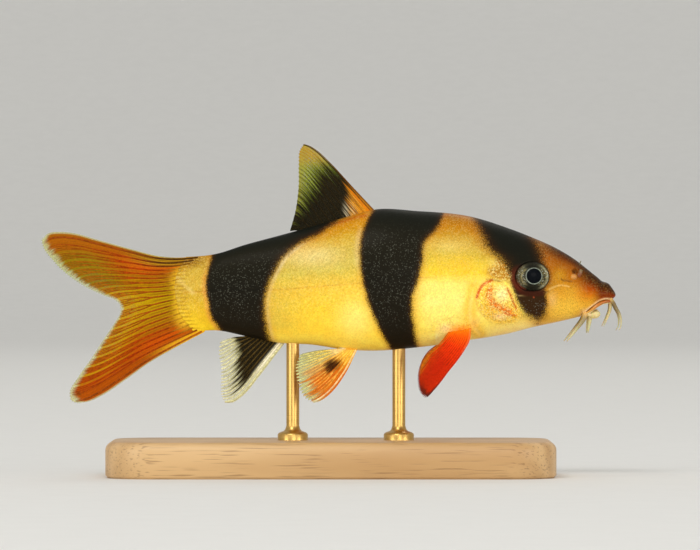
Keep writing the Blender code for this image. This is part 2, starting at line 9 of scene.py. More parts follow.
import bmesh
import bpy
import numpy as np
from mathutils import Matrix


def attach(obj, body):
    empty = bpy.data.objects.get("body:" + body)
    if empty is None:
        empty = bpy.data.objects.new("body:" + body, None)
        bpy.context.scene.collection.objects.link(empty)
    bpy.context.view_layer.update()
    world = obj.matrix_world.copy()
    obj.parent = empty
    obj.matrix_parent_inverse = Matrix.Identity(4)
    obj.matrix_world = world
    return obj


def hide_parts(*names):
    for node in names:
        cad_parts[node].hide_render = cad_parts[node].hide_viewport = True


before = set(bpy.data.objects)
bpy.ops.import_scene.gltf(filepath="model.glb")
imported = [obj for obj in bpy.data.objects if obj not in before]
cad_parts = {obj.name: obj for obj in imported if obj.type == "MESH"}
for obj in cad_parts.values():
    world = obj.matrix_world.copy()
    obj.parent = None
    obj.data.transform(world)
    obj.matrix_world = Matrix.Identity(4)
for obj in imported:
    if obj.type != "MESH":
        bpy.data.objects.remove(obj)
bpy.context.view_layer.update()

# The skin is one thin, wet hide over the head, trunk and tail stalk, with pigment grains and
# silvery cells in it. Where the cells glitter, some are also painted pale in its colour, as painted
# glints. It is a closed loft through the body's sections, then pressed in and raised
# where the eyes, nostrils, mouth and gill covers are, so that it needs no seam.
MM = 0.001
AXIS_HEIGHT = 25.8
# Sections from the tail fin to the snout, as (place along X, back, belly, half width)
BODY = np.array([
    (-23.0, 4.6, -6.6, 0.9), (-20.0, 4.6, -6.0, 1.4), (-16.0, 5.0, -5.6, 1.8), (-12.0, 6.25, -6.35, 2.5),
    (-7.0, 7.6, -7.35, 3.4), (-3.0, 8.7, -7.55, 4.0), (2.5, 10.25, -8.3, 4.75), (6.0, 11.15, -8.42, 5.05),
    (12.0, 10.95, -7.95, 5.3), (19.5, 10.15, -6.9, 5.2), (24.5, 8.6, -6.05, 4.7), (28.0, 7.25, -5.15, 3.9),
    (31.5, 5.65, -4.4, 3.1), (34.0, 4.1, -3.8, 2.5), (35.4, 3.0, -3.4, 2.15), (37.0, 1.75, -2.2, 1.75),
    (38.4, 0.95, -1.6, 1.35), (39.45, 0.3, -1.5, 1.2)])
WIDEST = 0.46
BACK_POWER = 1.9
BELLY_POWER = 2.35
SNOUT_TIP = BODY[-1, 0]
SNOUT_ROUND = 1.7
SNOUT_MIDDLE = -0.7
SKIN_END = -21.7
HEAD_START = 17.0
SECTORS = 196
RING_GAP = 0.24
HEAD_RING_GAP = 0.08
TAIL_ROOT = [(-18.4, 6.2), (-19.0, 4.6), (-20.2, 2.4), (-20.6, 0.2), (-20.3, -1.6), (-19.7, -3.8),
             (-18.2, -5.9), (-17.4, -7.2)]
RAY_PITCH = 0.53
EYE = (27.78, 1.83)
EYE_OPENING = (2.42, 2.05)
SOCKET_DEPTH = 1.5
NOSTRIL = (33.8, 2.6)
NOSTRIL_OPENING = (0.5, 0.4)
NOSTRIL_DEPTH = 0.4
COVER_THICKNESS = 0.32
LATERAL_LINE_DEPTH = 0.05


def smooth(at, knots, values):
    """A curve through the values, whose slope at each knot comes from its neighbours."""
    knots = np.asarray(knots, dtype=float)
    values = np.asarray(values, dtype=float)
    slopes = np.gradient(values, knots)
    i = np.clip(np.searchsorted(knots, at) - 1, 0, len(knots) - 2)
    step = knots[i + 1] - knots[i]
    t = (at - knots[i]) / step
    start = values[i] * (1 + 2 * t) * (1 - t) ** 2 + slopes[i] * step * t * (1 - t) ** 2
    end = values[i + 1] * t * t * (3 - 2 * t) - slopes[i + 1] * step * t * t * (1 - t)
    return start + end


def along(points, shares):
    """Points on the smooth line through the given ones, at these shares of its length."""
    points = np.asarray(points, dtype=float)
    chords = np.linalg.norm(np.diff(points, axis=0), axis=1)
    knots = np.concatenate([[0.0], np.cumsum(chords)])
    places = np.asarray(shares, dtype=float) * knots[-1]
    return np.stack([smooth(places, knots, points[:, k]) for k in range(points.shape[1])], axis=-1)


def ease(value, start, stop):
    """Rises softly from 0 at start to 1 at stop."""
    t = np.clip((value - start) / (stop - start), 0.0, 1.0)
    return t * t * (3 - 2 * t)


def bell(value, width):
    """1 at zero and fading to nothing past the width."""
    return np.exp(-(value / width) ** 2)


def at_height(line, z):
    """Where a line that runs from the back to the belly stands at a height."""
    line = np.asarray(line, dtype=float)[::-1]
    return smooth(np.clip(z, line[0, 1], line[-1, 1]), line[:, 1], line[:, 0])


def from_line(line, x, z):
    """Distance in the side view from places on the fish to a smooth line."""
    line = along(line, np.linspace(0, 1, 25))
    nearest = np.full(x.shape, 1e9)
    for (ax, az), (bx, bz) in zip(line, line[1:]):
        dx, dz = bx - ax, bz - az
        share = np.clip(((x - ax) * dx + (z - az) * dz) / (dx * dx + dz * dz), 0, 1)
        nearest = np.minimum(nearest, np.hypot(x - ax - share * dx, z - az - share * dz))
    return nearest


def from_outline(outline, x, z):
    """Distance to a closed outline in the side view, positive inside it."""
    line = along([*outline, outline[0]], np.linspace(0, 1, 49))
    inside = np.zeros(x.shape, dtype=bool)
    for (ax, az), (bx, bz) in zip(line, line[1:]):
        if az != bz:
            inside ^= ((az > z) != (bz > z)) & (x < ax + (z - az) * (bx - ax) / (bz - az))
    return np.where(inside, 1.0, -1.0) * from_line([*outline, outline[0]], x, z)


def spot(x, z, middle, reach):
    """1 in the middle of an oval patch, fading to nothing past its reach along and up the fish."""
    wide, tall = reach if isinstance(reach, tuple) else (reach, reach)
    return np.exp(-((x - middle[0]) / wide) ** 2 - ((z - middle[1]) / tall) ** 2)


def stroke(x, z, line, width):
    """1 along a smooth line in the side view, fading to nothing past its width."""
    return bell(from_line(line, x, z), width)


def body_sizes(x):
    """Back, belly and half width at places along the body."""
    back, belly, half = (smooth(x, BODY[:, 0], BODY[:, k]) for k in (1, 2, 3))
    past = np.clip((x - (SNOUT_TIP - SNOUT_ROUND)) / SNOUT_ROUND, 0, 1)
    shrink = np.sqrt(1 - past * past)
    middle = (back + belly) / 2 - 0.1
    return middle + (back - middle) * shrink, middle + (belly - middle) * shrink, half * shrink


def body_section(x, turn):
    """Sideways and height of the skin at places along the body and turns round it."""
    back, belly, half = body_sizes(x)
    level = belly + WIDEST * (back - belly)
    upper = np.sin(turn) >= 0
    power = np.where(upper, 2 / BACK_POWER, 2 / BELLY_POWER)
    reach = np.where(upper, back - level, level - belly)
    side = np.sign(np.cos(turn)) * np.abs(np.cos(turn)) ** power
    height = np.sign(np.sin(turn)) * np.abs(np.sin(turn)) ** power
    return side * half, level + height * reach


def body_side(x, z):
    """Half width of the body at a place along it and a height on it."""
    back, belly, half = body_sizes(np.asarray(x, dtype=float))
    level = belly + WIDEST * (back - belly)
    reach = np.where(z >= level, back - level, level - belly)
    share = np.clip(np.abs(z - level) / np.maximum(reach, 0.01), 0, 1)
    power = np.where(z >= level, BACK_POWER, BELLY_POWER)
    return half * (1 - share ** power) ** (1 / power)


def skin_grid():
    """Rings along the fish, closest on the head, with most of their points on the flanks. The last
    rings at the tail follow the fin's root."""
    trunk = np.arange(SKIN_END, HEAD_START, RING_GAP)
    head = np.arange(HEAD_START, SNOUT_TIP - SNOUT_ROUND, HEAD_RING_GAP)
    bend = np.linspace(0.0, math.pi / 2, 25)[:-1]
    snout = SNOUT_TIP - SNOUT_ROUND + SNOUT_ROUND * np.sin(bend)
    rings = np.concatenate([trunk, head, snout])[:, None]
    turn = (2 * math.pi * np.arange(SECTORS) / SECTORS)[None, :]
    turn = turn - 0.17 * np.sin(2 * turn)
    z = body_section(rings + 0 * turn, turn)[1]
    bow = at_height(TAIL_ROOT, z) - TAIL_ROOT[3][0]
    x = rings + bow * ease(-rings, 15.0, 21.0)
    y, z = body_section(x, turn)
    thinning = 0.1 + 0.9 * ease(x - at_height(TAIL_ROOT, z), -0.6, 4.4)
    return np.stack([x, y * thinning, z], axis=-1)


GILL_COVER = [(23.4, 1.2), (21.4, 1.25), (20.6, 0.4), (20.1, -0.5), (20.0, -1.5), (20.25, -2.6),
              (20.9, -3.5), (21.9, -4.3), (23.4, -4.75), (25.2, -4.6), (26.4, -3.6), (25.9, -2.2),
              (25.3, -0.7), (24.4, 0.7)]
GILL_OPENING = [(20.4, 2.3), (19.7, 0.6), (19.35, -1.3), (19.2, -3.2), (19.5, -4.8), (20.6, -6.1)]
COVER_REAR = [(22.2, 1.35), (21.2, 0.9), (20.5, 0.1), (20.1, -1.0)]
COVER_TOP = [(21.4, 1.45), (22.3, 1.4), (23.3, 1.2)]
COVER_FOOT = [(23.9, -3.1), (24.8, -3.4), (25.5, -3.4)]
COVER_BLUSH = [(21.9, 0.1), (21.8, -0.9), (22.5, -1.9), (23.6, -2.5), (24.6, -2.9)]
CHEEK_EDGE = [(24.0, 1.1), (25.0, -0.1), (25.7, -1.2), (26.15, -2.4), (26.6, -3.3)]
CHEEK_GROOVE = [(24.3, 0.2), (24.8, -0.8), (25.2, -1.8), (25.6, -2.7)]
TEMPLE = [(23.0, 4.2), (21.7, 2.3), (22.6, 1.6), (25.2, 1.9), (24.7, 3.2)]
LIP_RIM = [(35.0, -3.2), (35.4, -2.7), (36.1, -2.16), (37.1, -1.46), (38.0, -1.18), (38.9, -1.3),
           (39.3, -1.5)]
LIP_GROOVE = [(35.7, -2.95), (36.2, -2.5), (36.8, -2.0), (37.5, -1.58), (38.2, -1.5), (39.0, -1.6)]
NOSE_NOTCH = [(37.4, 1.9), (37.78, 0.95), (37.75, 0.3)]
SUBORBITAL_SLIT = [(31.85, 1.55), (32.15, 1.3), (32.6, 1.32), (33.0, 1.2), (33.35, 1.22)]
SUBORBITAL_RIDGE = [(30.2, 0.1), (30.8, 0.42), (31.5, 0.64), (32.3, 0.6), (32.9, 0.48)]
EYE_FOLD = [(25.35, -0.55), (25.8, -0.72), (26.4, -0.8), (27.1, -0.84)]
MOUTH_WRINKLES = [[(34.6, -2.9), (34.75, -3.3), (34.9, -3.8)], [(35.1, -2.95), (35.2, -3.3), (35.25, -3.8)]]
MUSCLE_END = [(-22.1, 2.4), (-21.2, 1.5), (-20.1, 0.45), (-19.1, -0.4)]
DORSAL_FOOT = [(-2.1, 7.95), (-0.3, 9.0), (1.5, 9.45), (3.2, 10.0), (4.9, 10.35)]
LATERAL_LINE = [(-20.5, -0.3), (-14.0, -0.2), (-8.0, 0.0), (0.0, 0.6), (9.0, 1.5), (15.0, 1.9), (19.8, 2.4)]
# Folds and grooves of the head's skin, as (line, height, width)
FOLDS = [
    (GILL_OPENING, -0.09, 0.3), (CHEEK_EDGE, 0.2, 0.2), (CHEEK_GROOVE, -0.18, 0.14),
    (LIP_RIM, 0.14, 0.14), (LIP_GROOVE, -0.05, 0.16), (NOSE_NOTCH, -0.16, 0.32),
    (SUBORBITAL_SLIT, -0.16, 0.09), (SUBORBITAL_RIDGE, 0.04, 0.12), (EYE_FOLD, 0.05, 0.08),
    *[(wrinkle, -0.12, 0.1) for wrinkle in MOUTH_WRINKLES],
]


def from_eye(x, z):
    """Distance from the middle of the eye, counted in sizes of its opening."""
    return np.hypot((x - EYE[0]) / EYE_OPENING[0], (z - EYE[1]) / EYE_OPENING[1])


def relief(x, z):
    """How far the skin stands out from the plain body, from its folds and openings."""
    eye = from_eye(x, z)
    nostril = np.hypot((x - NOSTRIL[0]) / NOSTRIL_OPENING[0], (z - NOSTRIL[1]) / NOSTRIL_OPENING[1])
    cover = from_outline(GILL_COVER, x, z)
    height = -SOCKET_DEPTH * (1 - ease(eye, 0.86, 1.0))
    height += 0.06 * bell(eye - 1.1, 0.08)
    height -= NOSTRIL_DEPTH * (1 - ease(nostril, 0.2, 1.0))
    height += 0.08 * bell(nostril - 1.2, 0.25)
    height += COVER_THICKNESS * ease(cover, -0.1, 0.22) * ease(-x, -26.2, -22.0) * ease(z, -4.6, -1.5)
    height += 0.12 * bell(cover - 1.1, 0.8)
    height += 0.1 * spot(x, z, (38.35, 0.6), 0.5)
    for line, rise, width in FOLDS:
        height += rise * stroke(x, z, line, width)
    return height


def sculpted(grid):
    """Moves the plain body's points out along its normals by the relief of the head."""
    ahead = np.gradient(grid, axis=0)
    round_it = np.roll(grid, -1, axis=1) - np.roll(grid, 1, axis=1)
    normal = np.cross(round_it, ahead)
    normal /= np.maximum(np.linalg.norm(normal, axis=2, keepdims=True), 1e-9)
    x, z = grid[..., 0], grid[..., 2]
    height = np.zeros(x.shape)
    head = x[:, 0] > 18.0
    height[head] = relief(x[head], z[head])
    flank = np.abs(normal[..., 1]) > 0.5
    height -= LATERAL_LINE_DEPTH * stroke(x, z, LATERAL_LINE, 0.16) * flank
    outward = np.sign((normal * (grid - grid.mean(axis=1, keepdims=True))).sum(axis=2, keepdims=True))
    return grid + normal * outward * height[..., None]


def linear(code):
    """An sRGB hex colour as linear light."""
    parts = np.array([int(code[k:k + 2], 16) / 255 for k in (1, 3, 5)])
    return np.where(parts <= 0.04045, parts / 12.92, ((parts + 0.055) / 1.055) ** 2.4)


def shades(at, stops):
    """Colours that change along a scale, given as (place on it, hex)."""
    places = [place for place, _ in stops]
    values = np.array([linear(code) for _, code in stops])
    return np.stack([np.interp(at, places, values[:, k]) for k in range(3)], axis=-1)


def lay(under, *coats):
    """Coats laid over a colour in turn, each given as (hex or colour, how thickly)."""
    for code, share in coats:
        over = linear(code) if isinstance(code, str) else code
        under = under + (over - under) * np.clip(share, 0, 1)[..., None]
    return under


def marks(x, z, table, share=1.0):
    """Coats from a table of spots and strokes, each given as (hex, thickness, place or line, size)."""
    for code, thickness, place, size in table:
        shape = spot if isinstance(place, tuple) else stroke
        yield code, thickness * share * shape(x, z, place, size)


# The black bands between their rear and front edges, from the back to the belly. Soft is the width
# of those two edges, and fuzz is what it gains towards the back and the belly.
BANDS = {
    "eye": {
        "rear": [(19.2, 10.6), (19.6, 10.0), (20.5, 8.2), (22.1, 5.4), (23.85, 3.8), (24.6, 2.4),
                 (24.85, 1.0), (25.35, -0.5), (26.1, -2.2), (27.2, -3.5), (28.5, -4.25), (29.3, -4.9)],
        "front": [(27.9, 7.6), (28.2, 7.1), (29.0, 5.4), (29.4, 4.1), (29.6, 3.2), (29.6, 1.5),
                  (29.55, -0.1), (29.75, -1.2), (29.75, -2.6), (29.4, -3.7), (28.7, -4.25), (27.9, -4.9)],
        "soft": (0.5, 0.5), "fuzz": 0.6},
    "middle": {
        "rear": [(6.0, 11.4), (5.1, 9.85), (4.3, 7.7), (4.0, 5.6), (4.1, 3.1), (4.7, -0.1), (5.5, -2.6),
                 (6.6, -5.2), (7.9, -7.5), (8.5, -8.4)],
        "front": [(15.8, 11.2), (15.6, 10.6), (14.85, 8.8), (13.0, 6.7), (12.6, 4.1), (12.0, 1.4),
                  (11.3, -0.7), (11.2, -2.8), (11.5, -5.2), (12.0, -8.0)],
        "soft": (0.45, 0.55), "fuzz": 0.0},
    "tail": {
        "rear": [(-16.4, 10.6), (-16.5, 4.8), (-17.0, 3.0), (-17.3, 0.5), (-17.0, -1.6), (-16.5, -3.8),
                 (-15.0, -6.0)],
        "front": [(2.2, 10.3), (1.3, 9.75), (-1.2, 8.0), (-3.9, 6.6), (-6.4, 4.7), (-7.55, 3.0),
                  (-8.7, 0.5), (-9.2, -2.2), (-8.9, -5.0), (-8.35, -7.4)],
        "soft": (0.32, 0.6), "fuzz": 0.1},
}
# The ground colour of each stretch of the skin, from the belly at 0 to the back at 1. Towards the
# belly the shades are partly the paler skin there and partly painted light, made lighter to stand
# in for light from below. The shoulder's pale band at about a third of the height is partly a
# painted highlight.
GROUND = {
    "trunk": [(0.0, "#ffe65c"), (0.12, "#ffda42"), (0.3, "#f4cc36"), (0.48, "#ecc242"), (0.62, "#cab648"),
              (0.74, "#c0a83a"), (0.84, "#c49c24"), (0.93, "#c48c10"), (1.0, "#a46a0c")],
    "shoulder": [(0.0, "#ffee88"), (0.12, "#ffe866"), (0.32, "#ffee80"), (0.46, "#fce472"),
                 (0.54, "#eec932"), (0.7, "#cfb23c"), (0.82, "#c29426"), (0.91, "#bc7c0e"),
                 (1.0, "#945c0a")],
    "stalk": [(0.0, "#f2d02c"), (0.2, "#e8c02a"), (0.5, "#cca832"), (0.8, "#ccaa3c"), (1.0, "#a67c24")],
    "muzzle": [(0.0, "#f2c44c"), (0.15, "#f2c446"), (0.35, "#dea632"), (0.5, "#cc8f22"),
               (0.62, "#b46c10"), (0.73, "#a85e10"), (0.83, "#96500e"), (0.91, "#5e2a0b"),
               (0.96, "#42220e"), (1.0, "#2e1a0e")],
    "snout": [(0.0, "#e6ae3c"), (0.27, "#dc9c2a"), (0.4, "#cc7610"), (0.55, "#a84406"), (0.72, "#602508"),
              (0.85, "#381808"), (1.0, "#241208")],
    "tip": [(0.0, "#8a3c08"), (0.2, "#8a3006"), (0.42, "#6c1e04"), (0.6, "#4c1a06"), (0.76, "#32150a"),
            (1.0, "#1f0f08")],
}
INK = [(0.0, "#1a1710"), (0.5, "#111412"), (1.0, "#141814")]
# Marks on the trunk, the gill cover and the head, as (hex, thickness, middle or line, reach)
TRUNK_MARKS = [
    # The pale streak at (16.5, 6.1) and the pale patch at (-2.5, 4.6) are painted sheen on the upper flank.
    ("#f4e08c", 0.3, (16.5, 6.1), (3.0, 1.0)), ("#f0bc2c", 0.5, (18.0, 2.6), (1.6, 1.8)),
    ("#f6e4a4", 0.45, (-2.5, 4.6), (4.2, 1.5)),
]
COVER_MARKS = [
    # The pale yellow-white spot at the middle of the gill cover is a painted highlight on its glitter.
    ("#fff4a8", 0.9, (23.5, -0.6), (1.05, 1.15)), ("#e05a1c", 0.8, COVER_BLUSH, 0.48),
    ("#f4cfa6", 0.6, (23.3, -3.6), (1.0, 0.45)), ("#d8781c", 0.6, (22.2, -2.0), (0.5, 0.9)),
]
HEAD_MARKS = [
    ("#d33a12", 0.95, COVER_REAR, 0.2), ("#7a4a1a", 0.7, COVER_TOP, 0.1), ("#d8521c", 0.85, COVER_FOOT, 0.16),
    ("#ffe25a", 0.9, CHEEK_EDGE, 0.16), ("#c04a14", 0.85, CHEEK_GROOVE, 0.14),
    # The pale spot at (15.8, -5.4) is a painted highlight, and the one at (14.4, -6.8) is painted light over
    # the shade that the pectoral fin casts on the belly.
    ("#f8cd72", 0.6, (20.0, -4.4), 0.6), ("#ffeeb0", 0.7, (15.8, -5.4), (0.9, 0.7)),
    ("#fff6a8", 0.8, (14.4, -6.8), (1.5, 0.9)), ("#dcb888", 0.35, (30.6, -1.4), (0.6, 1.0)),
    # The dark spot at (30.4, 0.7) is painted shade at the eye's front rim.
    ("#cc9c26", 0.55, (31.6, 2.1), 0.9), ("#7e4a10", 0.4, (30.4, 0.7), 0.8),
    ("#f0c878", 0.6, SUBORBITAL_RIDGE, 0.1), ("#5a3517", 0.75, SUBORBITAL_SLIT, 0.08),
    ("#f6dca8", 0.95, LIP_RIM, 0.11), ("#c06c12", 0.9, LIP_GROOVE, 0.3),
    # The dark patch at the nostril is painted shade in its pit.
    ("#54280f", 0.8, NOSTRIL, (0.45, 0.36)), ("#f0d2a2", 0.7, (35.1, -3.2), 0.5),
]
PECTORAL_FOOT = (17.9, -5.4)
PECTORAL_FOOT_SLOPE = 0.12
HATCH_PITCH = 0.42


def inside_band(band, x, z):
    """How far inside a band's soft edges a place is, counted in widths of that edge."""
    fuzz = band["fuzz"] * ease(np.abs(z), 1.0, 5.0)
    depths = []
    for name, way, soft in zip(("rear", "front"), (1, -1), band["soft"]):
        edge = at_height(band[name], z)
        lean = (at_height(band[name], z + 0.1) - at_height(band[name], z - 0.1)) / 0.2
        depths.append(way * (x - edge) / np.sqrt(1 + lean * lean) / (soft + fuzz))
    return np.minimum(*depths)


def skin_paint(x, z):
    """The skin's ground colour, how far inside a band each place is, and its share of the height
    from belly to back."""
    back, belly, _ = body_sizes(np.minimum(x, SNOUT_TIP - 0.05))
    share = np.clip((z - belly) / np.maximum(back - belly, 0.1), 0, 1)
    part = {name: shades(share, stops) for name, stops in GROUND.items()}
    ground = lay(
        part["trunk"],
        (part["shoulder"], ease(x, 10.0, 14.0)),
        ("#d7b742", 0.85 * ease(-x, 2.0, 8.0) * ease(-share, -0.62, -0.5) * ease(share, 0.04, 0.18)),
        ("#fff082", 0.75 * spot(x, z, (3.4, -4.0), (2.4, 2.6))),
        ("#a87018", 0.25 * ease(share, 0.84, 0.94) * ease(x, 16.0, 21.0)),
        (part["stalk"], ease(-x, 14.0, 17.0)),
        (part["muzzle"], ease(x, 26.8, 29.4)),
        (part["snout"], ease(x, 33.0, 36.0)),
        (part["tip"], ease(x, 35.8, 37.6)),
        ("#642006", 0.6 * spot(x, z, (38.5, -1.4), 0.7)),
        ("#ffd592", 0.4 * ease(x, 20.0, 24.0) * ease(-x, -30.0, -26.0) * ease(-share, -0.2, 0.0)))
    band = np.full(x.shape, -9.0)
    for spec in BANDS.values():
        band = np.maximum(band, inside_band(spec, x, z))
    past_tail_rear = x - at_height(BANDS["tail"]["rear"], z)
    past_tail_front = x - at_height(BANDS["tail"]["front"], z)
    past_middle_rear = x - at_height(BANDS["middle"]["rear"], z)
    ground = lay(
        ground,
        ("#b96a18", 0.4 * bell(np.minimum(band, 0.0), 1.2)),
        ("#e08a4a", 0.35 * bell(past_tail_rear + 0.3, 0.35) * ease(-z, -3.5, -1.5)),
        ("#e9dfb4", 0.45 * bell(past_tail_front - 0.45, 0.25) * (0.4 + 0.6 * ease(z, 0.5, 3.0))
         * ease(-z, -7.0, -5.5)),
        ("#efe3b4", 0.2 * bell(past_middle_rear + 0.45, 0.35) * ease(z, 2.0, 4.5) * ease(-z, -9.0, -8.0)),
        *marks(x, z, TRUNK_MARKS),
        ("#d08a0c", 0.75 * ease(share, 0.86, 0.97) * ease(x, -5.0, 0.0) * ease(-x, -8.0, -5.0)),
        ("#b0400a", 0.55 * stroke(x, z, DORSAL_FOOT, 0.26)),
        ("#b4541a", 0.28 * stroke(x, z, LATERAL_LINE, 0.09) * ease(-x, -17.0, -14.0)))
    hatched = ease(-x, 16.9, 19.0) * ease(z, 2.6, 4.0)
    hatching = ease(np.cos(2 * math.pi * (z + 0.22 * x) / HATCH_PITCH), 0.0, 0.8)
    ray_shadow = ease(np.cos(2 * math.pi * z / RAY_PITCH), 0.0, 0.8)
    ground = lay(
        ground,
        ("#9a6c1a", 0.6 * hatched),
        ("#43340f", 0.6 * hatched * hatching),
        # The pale stroke along the muscle's end is a painted highlight.
        ("#fbe596", 0.3 * stroke(x, z, MUSCLE_END, 0.28)),
        ("#8a5414", 0.45 * ray_shadow * ease(at_height(TAIL_ROOT, z) - x, -0.9, 0.3)))
    return ground, band, share


def head_paint(ground, x, z):
    """The patches, lines and glints of the head, laid over the ground colour."""
    plate = ease(from_outline(GILL_COVER, x, z), -0.3, 0.6)
    opening = from_line(GILL_OPENING, x, z)
    level = z - PECTORAL_FOOT_SLOPE * (x - PECTORAL_FOOT[0])
    return lay(
        ground,
        ("#a46e20", 0.85 * ease(from_outline(TEMPLE, x, z), -0.8, 0.5)),
        ("#f0d468", 0.5 * spot(x, z, (22.3, 3.6), 0.7)),
        ("#f9c83e", 0.8 * bell(opening - 0.35, 0.7) * ease(-z, -2.5, -0.5) * (1 - plate)),
        ("#ffe08a", 0.3 * bell(opening, 0.35) * ease(-z, 0.0, 1.5) * (1 - plate)),
        ("#fac83c", 0.9 * plate),
        *marks(x, z, COVER_MARKS, plate),
        *marks(x, z, HEAD_MARKS),
        ("#ff9414", 0.85 * spot(x, level, PECTORAL_FOOT, (1.6, 0.65))))


def eye_surround(colour, x, z):
    """The bare reddish skin behind and below the eye, with the pale fold at its foot, and painted shade round
    the eye's front rim.
    """
    eye = from_eye(x, z)
    behind = ease(-eye, -1.34, -1.17) * ease(-x, -26.9, -25.9) * ease(z, -1.6, -0.8) * ease(-z, -3.9, -1.8)
    below = ease(-eye, -1.5, -1.3) * ease(-z, -0.1, 0.3) * ease(z, -1.0, -0.7)
    return lay(
        colour,
        # The first coat is painted shade round the front rim of the eye.
        ("#5c3410", 0.55 * ease(-eye, -1.22, -1.06) * ease(x, 28.5, 29.5)),
        ("#561f12", 0.9 * behind),
        ("#3c1810", 0.8 * below),
        ("#b89a62", 0.6 * stroke(x, z, EYE_FOLD, 0.07) * ease(-x, -27.2, -25.9)),
        ("#c4502c", 0.8 * spot(x, z, (28.0, -1.0), 0.09)))


def effects(x, z, share):
    """How much each place glitters (silvery cells, partly painted into the colour as pale glints), its dark
    grains and its pale flecks, each from 0 to 1.
    """
    cover = ease(from_outline(GILL_COVER, x, z), -0.6, 0.7)
    temple = ease(from_outline(TEMPLE, x, z), -0.8, 0.4)
    chest = spot(x, z, (16.5, -4.8), (3.0, 2.2))
    glint = np.maximum.reduce([0.8 * cover, 0.75 * temple, 0.4 * chest, 0.2 * ease(share, 0.1, 0.4)])
    glint *= 1 - 0.85 * ease(x, 28.5, 32.0)
    glint = np.maximum(glint, 0.07 * ease(x, 29.5, 31.0) * ease(share, 0.3, 0.5) * ease(-share, -0.95, -0.8))
    grain = 0.1 + 0.8 * ease(share, 0.4, 0.8)
    grain = np.maximum(grain, 1.3 * ease(x, 29.0, 31.0))
    grain *= 1 - 0.6 * cover
    fleck = ease(share, 0.05, 0.35) * ease(-share, -0.95, -0.7) * ease(-x, -18.0, -14.0)
    fleck = np.maximum(fleck, 1.4 * ease(x, 24.0, 25.0) * ease(-z, 1.0, 1.8))
    return glint, grain, fleck


def keep(mesh, **layers):
    """Keeps a number or a colour at each place of a mesh."""
    for name, values in layers.items():
        coloured = values.ndim == 2
        if coloured:
            values = np.column_stack([values, np.ones(len(values))])
        kept = mesh.attributes.new(name, "FLOAT_COLOR" if coloured else "FLOAT", "POINT")
        kept.data.foreach_set("color" if coloured else "value", values.astype(np.float32).ravel())


def new_piece(name, places, faces, finish, **layers):
    """A smooth mesh at the origin from places in millimetres, with values kept at each place."""
    mesh = bpy.data.meshes.new(name)
    mesh.from_pydata((np.asarray(places) * MM).tolist(), [], faces)
    keep(mesh, **layers)
    shaped = bmesh.new()
    shaped.from_mesh(mesh)
    bmesh.ops.recalc_face_normals(shaped, faces=shaped.faces)
    shaped.to_mesh(mesh)
    shaped.free()
    mesh.shade_smooth()
    mesh.materials.append(finish)
    piece = bpy.data.objects.new(name, mesh)
    bpy.context.scene.collection.objects.link(piece)
    return piece


def node(tree, kind, settings=None, **links):
    """Adds a node. A link is a node, one of its outputs, a number or a colour, and its key is the
    name of the socket it goes to, or i and that socket's place among the inputs."""
    made = tree.nodes.new(kind)
    for name, value in (settings or {}).items():
        setattr(made, name, value)
    for key, value in links.items():
        numbered = key[0] == "i" and key[1:].isdigit()
        socket = made.inputs[int(key[1:]) if numbered else key.replace("_", " ")]
        if isinstance(value, bpy.types.Node):
            value = next(output for output in value.outputs if output.enabled)
        if isinstance(value, bpy.types.NodeSocket):
            tree.links.new(value, socket)
        else:
            socket.default_value = value
    return made


def new_finish(name):
    """A material, its tree, and the places on its object in metres, as the only output in it."""
    finish = bpy.data.materials.new(name)
    finish.use_nodes = True
    tree = finish.node_tree
    tree.nodes.clear()
    return finish, tree, node(tree, "ShaderNodeTexCoord").outputs["Object"]


def rgba(code):
    """An sRGB hex colour as a socket takes it."""
    return (*linear(code), 1.0)


